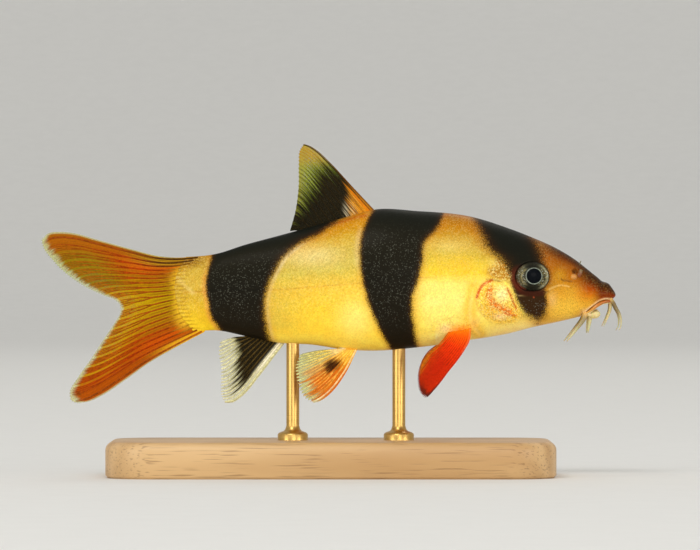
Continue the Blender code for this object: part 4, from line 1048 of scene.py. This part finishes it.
def dorsal_paint(u, v, x, z, ray=False):
    """Black up to a streaked top, and before it the clear orange wedge at the fin's front foot."""
    streak = 1.1 * uneven(v, 11, 70) + 1.8 * uneven(v, 12, 170)
    top = smooth(np.clip(x, -6.0, 3.0), *np.array(DORSAL_BLACK_TOP).T)
    black = ease(top + streak - z, -2.6, 2.4)
    ahead = x - at_height(DORSAL_WEDGE, z)
    wedge = ease(ahead + 0.5 * uneven(v, 13, 110), -0.3, 0.7) * ease(-z, -15.9, -13.6)
    front = 1 - ease(v, 0.05, 0.08)
    tint = lay(
        shades(u, [(0.0, "#7c8020"), (0.5, "#728420"), (0.8, "#8c9622"), (1.0, "#9c982a")]),
        ("#ae9420", ease(z, 16.4, 18.8)),
        ("#10120e", black),
        ("#d48e20", wedge),
        ("#5e2e0c", 0.85 * wedge * ease(uneven(v, 14, 150), -0.1, 0.5) * ease(-ahead, -2.6, -0.8)),
        ("#f0d898", 0.5 * wedge * ease(uneven(v, 16, 150), -0.2, 0.7) * ease(-ahead, -1.8, -0.3)
         * ease(-z, -13.5, -11.0)),
        ("#d8720c", 0.7 * wedge * bell(v - 0.07, 0.022)),
        ("#5c3210", 0.8 * (1 - ease(v, 0.015, 0.04))),
        ("#d8ccaa", 0.5 * bell(ahead + 0.3, 0.4) * ease(-z, -13.6, -11.2)
         * ease(uneven(v, 15, 170), -0.2, 0.5)))
    cover = 0.64 + 0.33 * np.maximum(black, wedge) + 0.08 * ease(u, 0.9, 0.97)
    if ray:
        tint = lay(
            tint,
            ("#1c150a", 0.75 * (1 - wedge) * ease(-z, -18.6, -15.5)),
            ("#a8600c", 0.6 * wedge + 0.5 * ease(z, 17.0, 19.0)),
            ("#1d170c", 0.9 * front * ease(z, 12.0, 14.0)),
            ("#78400f", 0.85 * front * ease(-z, -14.0, -12.0)))
    return tint, cover


dress_fin("dorsal_fin", ["dorsal_fin"], DORSAL, 1, dorsal_paint, 110, 260)

# The anal fin is black at its root and down its front rays, and clear with a pale yellow tinge
# outside that. Its first rays are cream, and its rear edge is ragged between the ray tips.
ANAL = {
    "lead": [(-6.5, -7.5), (-7.9, -9.3), (-9.9, -11.9), (-12.4, -14.8), (-13.5, -15.55),
             (-14.75, -15.7)],
    "trail": [(-12.0, -6.4), (-13.6, -6.55), (-15.4, -7.1)],
    "edge": [(-14.75, -15.7), (-15.2, -14.8), (-15.3, -12.8), (-15.3, -10.6), (-15.6, -8.6),
             (-15.4, -7.1)],
    "sink": (0.3, 1.2), "rays": 10, "crowd": 1.25, "notch": 0.05, "thick": 0.12, "taper": 0.1,
}


def anal_paint(u, v, x, z, ray=False):
    """Black that reaches less far out towards the rear, behind the cream front rays."""
    streak = 0.1 * uneven(v, 21, 40) + 0.06 * uneven(v, 22, 120)
    reach = 0.76 - 0.4 * ease(v, 0.3, 1.0)
    black = ease(-(u + streak), -reach - 0.16, -reach + 0.1) * ease(v, 0.13, 0.18)
    cream = bell(v - 0.12, 0.045) * ease(-u, -0.62, -0.3)
    front = 1 - ease(v, 0.05, 0.1)
    tint = lay(
        shades(u, [(0.0, "#c2b878"), (0.6, "#c6c184"), (1.0, "#d6d4a8")]),
        ("#dcd898", 0.8 * front),
        ("#4e4c26", 0.6 * ease(uneven(v, 23, 90), 0.2, 0.7) * ease(u, 0.55, 0.75)),
        ("#12110b", black),
        ("#fff8dc", cream))
    cover = 0.3 + 0.66 * np.maximum(black, cream) + 0.2 * front - 0.08 * ease(u, 0.9, 1.0)
    if ray:
        tint = lay(
            tint,
            ("#e6e2b4", 0.5 * (1 - black)),
            ("#54431f", 0.7 * black * ease(-u, -0.8, -0.3)))
    return tint, cover


dress_fin("anal_fin", ["anal_fin"], ANAL, 1, anal_paint, 90, 220)

# The pelvic fins are a pair low on the belly, orange over their front half with one smoky spot,
# and clear yellow green behind, where the ray tips make the margin ragged.
PELVIC = {
    "lead": [(3.6, -8.3), (1.9, -11.7), (-0.1, -14.3), (-1.1, -15.1), (-2.2, -15.65)],
    "trail": [(1.0, -8.2), (-1.6, -8.35), (-4.3, -8.9)],
    "edge": [(-2.2, -15.65), (-3.6, -14.9), (-4.7, -12.5), (-4.9, -10.6), (-4.3, -8.9)],
    "sink": (0.5, 1.4), "rays": 9, "beside": 1.5, "splay": 0.36, "inward": 0.5, "notch": 0.06,
    "thick": 0.12, "taper": 0.1,
}


def pelvic_paint(u, v, x, z, ray=False):
    """Orange that ends in streaks, and one smoky spot that lies askew on it."""
    streak = uneven(v, 31, 70)
    orange = 1 - ease(v + 0.12 * streak + 0.1 * u, 0.45, 0.85)
    orange *= ease(-u - 0.12 * streak - 0.1 * v, -1.0, -0.8)
    along_spot, across_spot = 0.83 * x + 0.56 * (z + 10.4), -0.56 * x + 0.83 * (z + 10.4)
    from_spot = np.hypot(along_spot / 1.5, across_spot / 0.85) + 0.3 * uneven(v, 32, 80)
    smoky = ease(-from_spot, -1.25, -0.45)
    tint = lay(
        shades(u, [(0.0, "#f0cf70"), (0.3, "#d2c868"), (1.0, "#cccf92")]),
        ("#d46406", 0.95 * orange * ease(u, 0.05, 0.3)),
        ("#b0680c", 0.6 * orange * ease(u, 0.75, 0.95)),
        ("#e48a14", 0.5 * orange * ease(streak, 0.0, 0.8) * ease(u, 0.3, 0.6)),
        ("#f6ac18", 0.85 * orange * (1 - ease(u, 0.08, 0.4))),
        ("#fff4d0", 0.75 * ease(v, 0.55, 0.8) * ease(-u, -0.35, -0.1)),
        ("#2c160a", 0.95 * smoky))
    cover = 0.38 + 0.5 * np.maximum(orange, smoky) + 0.25 * ease(-u, -0.3, 0.0)
    if ray:
        tint = lay(
            tint,
            ("#f4c95a", 0.6 * (1 - smoky) * ease(-u, -1.1, -0.2)),
            ("#f6dcae", 0.6 * (1 - ease(v, 0.05, 0.09))))
    return tint, cover


for side, word in ((-1, "right"), (1, "left")):
    dress_fin("pelvic_fin_" + word, ["pelvic_fin_" + word], PELVIC, side,
              pelvic_paint, 80, 180)

# The pectoral fins are scarlet paddles behind the gill covers, orange where they leave the body,
# with a pale front edge, a smoky tip and a clear hind margin that the ray tips fringe.
PECTORAL = {
    "lead": [(19.35, -5.1), (19.15, -6.9), (18.4, -8.3), (17.5, -9.6), (16.2, -11.2), (14.9, -12.9),
             (13.4, -14.6)],
    "trail": [(16.3, -5.7), (14.9, -7.4), (13.4, -8.7), (12.7, -9.8)],
    "edge": [(13.4, -14.6), (12.9, -14.75), (12.5, -14.4), (12.1, -12.9), (12.2, -11.3), (12.7, -9.8)],
    "sink": (0.6, 1.4), "rays": 13, "beside": 3.5, "splay": 0.5, "inward": 1.6, "notch": 0.03,
    "thick": 0.08,
}


def pectoral_paint(u, v, x, z, ray=False):
    """Scarlet that pales to orange at the root, with a dark tip and a clear fringe behind."""
    fringe = ease(v + 0.16 * uneven(v, 41, 90) + 0.3 * ease(u, 0.6, 1.0) * ease(v, 0.4, 0.8), 0.78, 1.0)
    front = 1 - ease(v, 0.03, 0.06)
    tint = lay(
        shades(u, [(0.0, "#ff8c0c"), (0.1, "#fc5e08"), (0.28, "#ec3608"), (0.55, "#c62208"),
                   (1.0, "#b02608")]),
        ("#c83c08", 0.6 * ease(v, 0.4, 0.75) * ease(u, 0.3, 0.6)),
        ("#d42c0c", 0.5 * (1 - ease(v, 0.05, 0.3)) * ease(u, 0.1, 0.3)),
        ("#cf6408", 0.8 * fringe),
        ("#2e1c14", 0.9 * ease(u + 0.02 * uneven(v, 42, 60), 0.9, 0.97) * (1 - ease(v, 0.2, 0.5))),
        ("#3c1410", 0.75 * ease(u, 0.8, 0.88) * (1 - ease(v, 0.03, 0.11))))
    cover = (0.97 - 0.75 * fringe * ease(u, 0.15, 0.35) - 0.25 * ease(u, 0.94, 1.0)) * ease(u, -0.03, 0.1)
    if ray:
        tint = lay(
            tint,
            ("#9c1a06", 0.6 * (1 - fringe) * ease(u, 0.0, 0.2)),
            ("#b86a14", 0.6 * fringe),
            ("#f3b070", 0.3 * front * ease(-u, -0.4, -0.25)),
            ("#2a1812", 0.8 * front * ease(u, 0.7, 0.8)))
    return tint, cover


for side, word in ((-1, "right"), (1, "left")):
    dress_fin("pectoral_fin_" + word, ["pectoral_fin_" + word], PECTORAL, side,
              pectoral_paint, 80, 220)

# The mouth has soft lips under the snout: a golden upper lip with a pale hem, and a lower lip that
# hangs in two half-clear lobes. They are round folds of flesh let into the skin at the corners.
UPPER_LIP = [(35.3, 1.52, -3.25), (36.0, 1.56, -2.8), (36.9, 1.42, -2.1), (37.6, 1.2, -1.72),
             (38.3, 0.86, -1.56), (38.8, 0.44, -1.5), (38.95, 0.0, -1.48)]
LOWER_LIP = [(34.9, 1.4, -3.1), (35.7, 1.25, -3.4), (36.4, 0.8, -3.35), (36.75, 0.0, -3.0)]
LIP_LOBE = [(35.8, 0.8, -3.4), (36.3, 0.85, -3.4), (36.8, 0.85, -3.35), (37.25, 0.75, -3.15)]


def both_sides(points):
    """A line from its right end to its left end through the middle plane."""
    return [(x, -y, z) for x, y, z in points] + [(x, y, z) for x, y, z in points[-2::-1]]


def lip_lines():
    share = np.linspace(0, 1, 60)
    middle = 1 - np.abs(2 * share - 1)
    upper = along(both_sides(UPPER_LIP), share)
    hem = upper - np.array([0.05, 0.0, 0.2])
    lower = along(both_sides(LOWER_LIP), share)
    lines = [
        (upper, 0.14 + 0.1 * ease(middle, 0.0, 0.4),
         shades(middle, [(0.0, "#d89c3c"), (0.5, "#bc6c14"), (0.8, "#a65412"), (1.0, "#b87a3c")])),
        (hem, 0.08 + 0.05 * ease(middle, 0.0, 0.4), shades(middle, [(0.0, "#f0d49a"), (1.0, "#e9cf98")])),
        (lower, 0.22 + 0.12 * ease(middle, 0.0, 0.5), shades(middle, [(0.0, "#e9bf78"), (1.0, "#e2d3a0")])),
    ]
    share = np.linspace(0, 1, 24)
    radius = 0.56 * np.sqrt(np.clip(1 - (1.6 * share - 0.62) ** 2, 0.0, 1.0)) + 0.02
    for side in (-1, 1):
        lobe = along(LIP_LOBE, share) * np.array([1.0, side, 1.0])
        lines.append((lobe, radius, shades(share, [(0.0, "#e0bc6c"), (1.0, "#ddd39a")])))
    return lines


def feeler_flesh():
    """Soft cream flesh with brown pigment specks 0.14 mm wide, a little coarser than real so that
    they show, and a wet shine."""
    finish, tree, place = new_finish("feeler_flesh")
    tint = node(tree, "ShaderNodeAttribute", {"attribute_name": "tint"})
    specks = node(tree, "ShaderNodeTexNoise", Vector=place, Scale=1 / (0.14 * MM), Detail=1.0)
    share = node(tree, "ShaderNodeMapRange", i0=specks, i1=0.55, i2=0.68, i3=0.0, i4=0.3)
    speckled = node(tree, "ShaderNodeMix", {"data_type": "RGBA"}, i0=share, i6=tint, i7=rgba("#8a6a34"))
    shader = node(tree, "ShaderNodeBsdfPrincipled", Base_Color=speckled, Roughness=0.3,
                  Subsurface_Weight=0.3, Subsurface_Scale=0.3 * MM)
    node(tree, "ShaderNodeOutputMaterial", Surface=shader)
    return finish


FLESH = feeler_flesh()
lips = make_tubes("lips", lip_lines(), 20, FLESH, STRUTS)
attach(lips, "root")

# Each nostril is a pit with a rounded peach flap behind it and a short tube before it, both of
# thin skin that stands up from the snout. A wisp of skin stands above them.


def nostril_lines():
    share = np.linspace(0, 1, 20)
    wall = float(body_side(33.9, 1.9))
    flap = along([(33.05, wall + 0.02, 1.74), (33.55, wall + 0.04, 1.8), (34.05, wall - 0.04, 1.72)], share)
    tube = along([(34.25, wall - 0.3, 1.95), (34.45, wall - 0.14, 2.3), (34.62, wall - 0.2, 2.8)], share)
    wisp = along([(34.3, 0.75, 3.3), (34.5, 0.72, 3.7), (34.65, 0.68, 4.05)], share)
    bulge = 0.4 * np.sqrt(np.clip(1 - (2 * share - 1) ** 2, 0, 1)) + 0.02
    parts = [
        (flap, bulge, [(0.0, "#d4963e"), (1.0, "#b87830")]),
        (tube, 0.34 - 0.12 * share, [(0.0, "#8a4614"), (0.5, "#7e4c1e"), (1.0, "#78683a")]),
        (wisp, 0.13 * (1 - 0.8 * share), [(0.0, "#4a3418"), (1.0, "#6a6a3a")]),
    ]
    return [(line * np.array([1, side, 1]), radius, shades(share, stops))
            for side in (-1, 1) for line, radius, stops in parts]


nostrils = make_tubes("nostril_flaps", nostril_lines(), 16, FLESH, STRUTS)
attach(nostrils, "root")

# The barbels are eight soft feelers round the mouth, cream and half clear, with dark edges and
# specks. Each is a round strut that tapers from its root, where it grows out of the lip.
BARBELS = {
    "rostral_outer": {"line": [(38.6, -1.1), (39.1, -1.75), (39.5, -2.5), (39.95, -3.3), (40.15, -4.3),
                               (40.05, -5.2), (39.8, -5.6)],
                      "root_beside": 0.6, "tip_beside": 1.7, "radius": 0.27, "dark": 0.8},
    "rostral_inner": {"line": [(38.7, -1.4), (38.65, -2.8), (38.3, -3.8), (37.75, -5.05)],
                      "root_beside": 0.4, "tip_beside": 0.8, "radius": 0.27, "dark": 0.15},
    "maxillary": {"line": [(35.25, -3.2), (34.9, -4.1), (34.1, -5.2), (33.4, -6.1), (32.6, -7.1)],
                  "root_beside": 1.35, "tip_beside": 2.6, "radius": 0.38, "dark": 0.6},
    "mandibular": {"line": [(35.8, -3.3), (35.8, -4.1), (35.7, -5.1), (35.6, -5.95)],
                   "root_beside": 0.7, "tip_beside": 1.0, "radius": 0.4, "dark": 0.0},
}
LEFT_BARBEL_SWING = 0.06


def barbel_lines():
    lines = []
    share = np.linspace(0, 1, 40)
    for spec in BARBELS.values():
        for side in (-1, 1):
            line = along(spec["line"], share)
            if side > 0:
                line[:, 0] += LEFT_BARBEL_SWING * share * (line[-1, 1] - line[0, 1])
            beside = side * (spec["root_beside"] + (spec["tip_beside"] - spec["root_beside"]) * share)
            taper = 1 - 0.85 * share ** 1.4
            tint = shades(share, [(0.0, "#dca448"), (0.2, "#c8b676"), (0.6, "#cfc792"), (1.0, "#b9b184")])
            tint = lay(tint, ("#5e4420", spec["dark"] * ease(-share, -0.85, -0.3) * ease(share, 0.02, 0.2)))
            lines.append((np.stack([line[:, 0], beside, line[:, 1]], axis=-1), spec["radius"] * taper, tint))
    return lines


barbels = make_tubes("barbels", barbel_lines(), 16, FLESH, STRUTS)
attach(barbels, "root")
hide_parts(*[f"barbel_{name}_{word}" for name in BARBELS for word in ("left", "right")])

# The stand takes the water's place: an oak board with round corners and a softened edge, oiled,
# and two turned brass rods with a collar at the foot. The rods are let into the board and belly.
BOARD = (62.0, 30.0, 5.0)
BOARD_CORNER = 7.0
BOARD_EDGE = 1.2
ROD_RADIUS = 0.9
ROD_PLACES = {"front": 9.4, "rear": -5.3}
ROD_IN_BELLY = 1.0
ROD_SIDES = 48
# The collar from its foot in the board upwards, as (radius, height over the board)
COLLAR = [(2.1, -0.5), (2.1, 0.75), (2.0, 0.95), (1.75, 1.1), (1.3, 1.25), (1.05, 1.5), (ROD_RADIUS, 2.0)]


def board_outline(inset):
    """A rectangle with round corners, as points round it."""
    points = []
    radius = BOARD_CORNER - inset
    for quarter in range(4):
        cx = (1 if quarter in (0, 3) else -1) * (BOARD[0] / 2 - BOARD_CORNER)
        cy = (1 if quarter in (0, 1) else -1) * (BOARD[1] / 2 - BOARD_CORNER)
        for k in range(17):
            turn = math.pi / 2 * (quarter + k / 16)
            points.append((cx + radius * math.cos(turn), cy + radius * math.sin(turn)))
    return points


def oiled_oak():
    """Pale open-pored hardwood, sawn along its grain: rings 3 mm apart drawn out along X, with
    pores 0.2 mm wide and 5 mm long, under a thin coat of oil."""
    finish, tree, place = new_finish("oiled_oak")
    drawn_out = node(tree, "ShaderNodeMapping", Vector=place, Scale=(0.12, 1.0, 1.0))
    drift = node(tree, "ShaderNodeTexNoise", Vector=drawn_out, Scale=1 / (7.0 * MM), Detail=3.0,
                 Distortion=0.6)
    rings = node(tree, "ShaderNodeTexWave", {"wave_type": "BANDS", "bands_direction": "Y"},
                 Vector=drawn_out, Scale=0.3 / (3.0 * MM), Distortion=7.0, Detail=2.0, Detail_Scale=1.2)
    pore_place = node(tree, "ShaderNodeMapping", Vector=place, Scale=(0.04, 1.0, 1.0))
    pores = node(tree, "ShaderNodeTexNoise", Vector=pore_place, Scale=1 / (0.22 * MM), Detail=1.0)
    early = node(tree, "ShaderNodeMapRange", i0=drift, i1=0.3, i2=0.7, i3=0.2, i4=0.8)
    share = node(tree, "ShaderNodeMath", {"operation": "MULTIPLY"}, i0=rings.outputs["Fac"], i1=early)
    base = node(tree, "ShaderNodeMix", {"data_type": "RGBA"}, i0=share, i6=rgba("#d2ac78"),
                i7=rgba("#b0844f"))
    dark = node(tree, "ShaderNodeMapRange", i0=pores, i1=0.58, i2=0.7, i3=0.0, i4=0.5)
    pored = node(tree, "ShaderNodeMix", {"data_type": "RGBA"}, i0=dark, i6=base, i7=rgba("#7c5730"))
    bump = node(tree, "ShaderNodeBump", {"invert": True}, Height=dark, Distance=0.06 * MM, Strength=0.5)
    shader = node(tree, "ShaderNodeBsdfPrincipled", Base_Color=pored, Roughness=0.45, Normal=bump,
                  Coat_Weight=0.12, Coat_Roughness=0.3)
    node(tree, "ShaderNodeOutputMaterial", Surface=shader)
    return finish


def capped_faces(rings, count):
    """Faces over a stack of rings, with a flat one at each end."""
    last = (rings - 1) * count
    return grid_faces(rings, count, True) + [tuple(range(count)), tuple(range(last, last + count))]


def make_board():
    levels = [(0.4, 0.0), (0.0, 0.4)]
    levels += [(BOARD_EDGE * (1 - math.cos(a)), BOARD[2] - BOARD_EDGE * (1 - math.sin(a)))
               for a in np.linspace(0, math.pi / 2, 9)]
    rings = np.array([[(x, y, z) for x, y in board_outline(inset)] for inset, z in levels])
    faces = capped_faces(*rings.shape[:2])
    piece = new_piece("oak_board", rings.reshape(-1, 3), faces, oiled_oak())
    piece.data.set_sharp_from_angle(angle=math.radians(50))
    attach(piece, "root")
    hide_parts("stand_base")


def brushed_brass():
    """Lacquered brass, turned and then brushed round the rod: fine rings that spread the highlight
    along it. They are 0.16 mm apart, coarser than real brushing, to show."""
    finish, tree, place = new_finish("brushed_brass")
    squeezed = node(tree, "ShaderNodeMapping", Vector=place, Scale=(0.06, 0.06, 1.0))
    lines = node(tree, "ShaderNodeTexNoise", Vector=squeezed, Scale=1 / (0.16 * MM), Detail=3.0)
    tone = node(tree, "ShaderNodeMix", {"data_type": "RGBA"}, i0=lines, i6=rgba("#b98d43"),
                i7=rgba("#e2bd72"))
    rough = node(tree, "ShaderNodeMapRange", i0=lines, i1=0.3, i2=0.7, i3=0.3, i4=0.42)
    bump = node(tree, "ShaderNodeBump", Height=lines, Distance=0.01 * MM, Strength=0.12)
    shader = node(tree, "ShaderNodeBsdfPrincipled", Base_Color=tone, Metallic=1.0, Roughness=rough,
                  Normal=bump)
    node(tree, "ShaderNodeOutputMaterial", Surface=shader)
    return finish


def make_rod(word, x, finish):
    """A collar on the board and a rod from it into the belly."""
    top = AXIS_HEIGHT + float(body_sizes(np.array([x]))[1][0]) + ROD_IN_BELLY
    profile = [(radius, BOARD[2] + height) for radius, height in COLLAR] + [(ROD_RADIUS, top)]
    turn = 2 * math.pi * np.arange(ROD_SIDES) / ROD_SIDES
    rings = np.array([[(x + r * math.cos(a), r * math.sin(a), z) for a in turn] for r, z in profile])
    faces = capped_faces(*rings.shape[:2])
    piece = new_piece("brass_rod_" + word, rings.reshape(-1, 3), faces, finish)
    piece.data.set_sharp_from_angle(angle=math.radians(35))
    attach(piece, "root")
    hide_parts("stand_rod_" + word)


make_board()
brass = brushed_brass()
for word, x in ROD_PLACES.items():
    make_rod(word, x, brass)

# The stage is a pale painted floor that curves up far behind, under a pale sky, with soft lamps
# before, above and behind the fish. The camera looks level at its right side, as the photo does.
FLOOR_FLAT = 1.8
FLOOR_RISE = 1.6
FLOOR_SIDES = 96
SKY_STRENGTH = 0.54
# Each lamp as (place in metres, width in metres, power in watts, colour)
LAMPS = {
    "key_lamp": ((-0.5, -1.4, 1.5), 0.8, 12.5, (1.0, 0.99, 0.96)),
    "front_lamp": ((0.3, -2.0, 0.45), 0.8, 7.6, (1.0, 0.99, 0.97)),
    "head_side_lamp": ((1.4, -1.2, 0.15), 0.7, 8.6, (1.0, 0.99, 0.97)),
    "tail_side_lamp": ((-1.4, -1.2, 0.15), 0.7, 8.6, (1.0, 0.99, 0.97)),
    "back_lamp": ((0.3, 1.1, 1.3), 0.6, 2.2, (1.0, 0.98, 0.9)),
}
MM_PER_PIXEL = 0.13865
PICTURE_WIDTH = 700
CAMERA_DISTANCE = 900.0
CAMERA_AIM = (2.63, 27.88)


def painted_floor():
    """Matt pale paint with a faint roller mottle, 6 mm wide."""
    finish, tree, place = new_finish("matt_pale_paint")
    mottle = node(tree, "ShaderNodeTexNoise", Vector=place, Scale=1 / (6.0 * MM), Detail=2.0)
    tone = node(tree, "ShaderNodeMix", {"data_type": "RGBA"}, i0=mottle, i6=rgba("#e9e8e4"),
                i7=rgba("#eeede9"))
    shader = node(tree, "ShaderNodeBsdfPrincipled", Base_Color=tone, Roughness=0.8)
    node(tree, "ShaderNodeOutputMaterial", Surface=shader)
    return finish


def make_floor():
    turn = 2 * math.pi * np.arange(FLOOR_SIDES) / FLOOR_SIDES
    bend = np.linspace(0, math.pi / 2, 17)[1:]
    profile = [(0.3, 0.0), (FLOOR_FLAT, 0.0)]
    profile += [(FLOOR_FLAT + FLOOR_RISE * math.sin(a), FLOOR_RISE * (1 - math.cos(a))) for a in bend]
    rings = np.array([[(r * math.cos(a), r * math.sin(a), z) for a in turn] for r, z in profile])
    places = np.concatenate([rings.reshape(-1, 3), [[0.0, 0.0, 0.0]]]) / MM
    faces = grid_faces(len(rings), FLOOR_SIDES, True) + fan(0, FLOOR_SIDES, len(places) - 1)
    floor = new_piece("pale_floor", places, faces, painted_floor())


def make_lamp(name, place, width, power, colour):
    """A round soft lamp that is aimed at the middle of the fish."""
    lamp = bpy.data.lights.new(name, "AREA")
    lamp.shape = "DISK"
    lamp.size = width
    lamp.energy = power
    lamp.color = colour
    holder = bpy.data.objects.new(name, lamp)
    holder.location = place
    ahead = np.array([0.0, 0.0, AXIS_HEIGHT * MM]) - np.asarray(place)
    holder.rotation_euler = (math.pi / 2 + math.atan2(ahead[2], math.hypot(ahead[0], ahead[1])), 0.0,
                             math.atan2(ahead[1], ahead[0]) - math.pi / 2)
    bpy.context.scene.collection.objects.link(holder)


def make_sky():
    world = bpy.data.worlds.new("pale_sky")
    world.use_nodes = True
    sky = world.node_tree.nodes["Background"]
    sky.inputs["Color"].default_value = (1.0, 1.0, 1.0, 1.0)
    sky.inputs["Strength"].default_value = SKY_STRENGTH
    bpy.context.scene.world = world


def make_camera():
    lens = bpy.data.cameras.new("camera")
    lens.lens = lens.sensor_width * CAMERA_DISTANCE / (PICTURE_WIDTH * MM_PER_PIXEL)
    lens.clip_start = 0.01
    lens.clip_end = 10.0
    camera = bpy.data.objects.new("camera", lens)
    camera.location = (CAMERA_AIM[0] * MM, -CAMERA_DISTANCE * MM, CAMERA_AIM[1] * MM)
    camera.rotation_euler = (math.pi / 2, 0.0, 0.0)
    bpy.context.scene.collection.objects.link(camera)
    bpy.context.scene.camera = camera


make_floor()
for name, lamp in LAMPS.items():
    make_lamp(name, *lamp)
make_sky()
make_camera()
bpy.context.scene.view_settings.view_transform = "Standard"
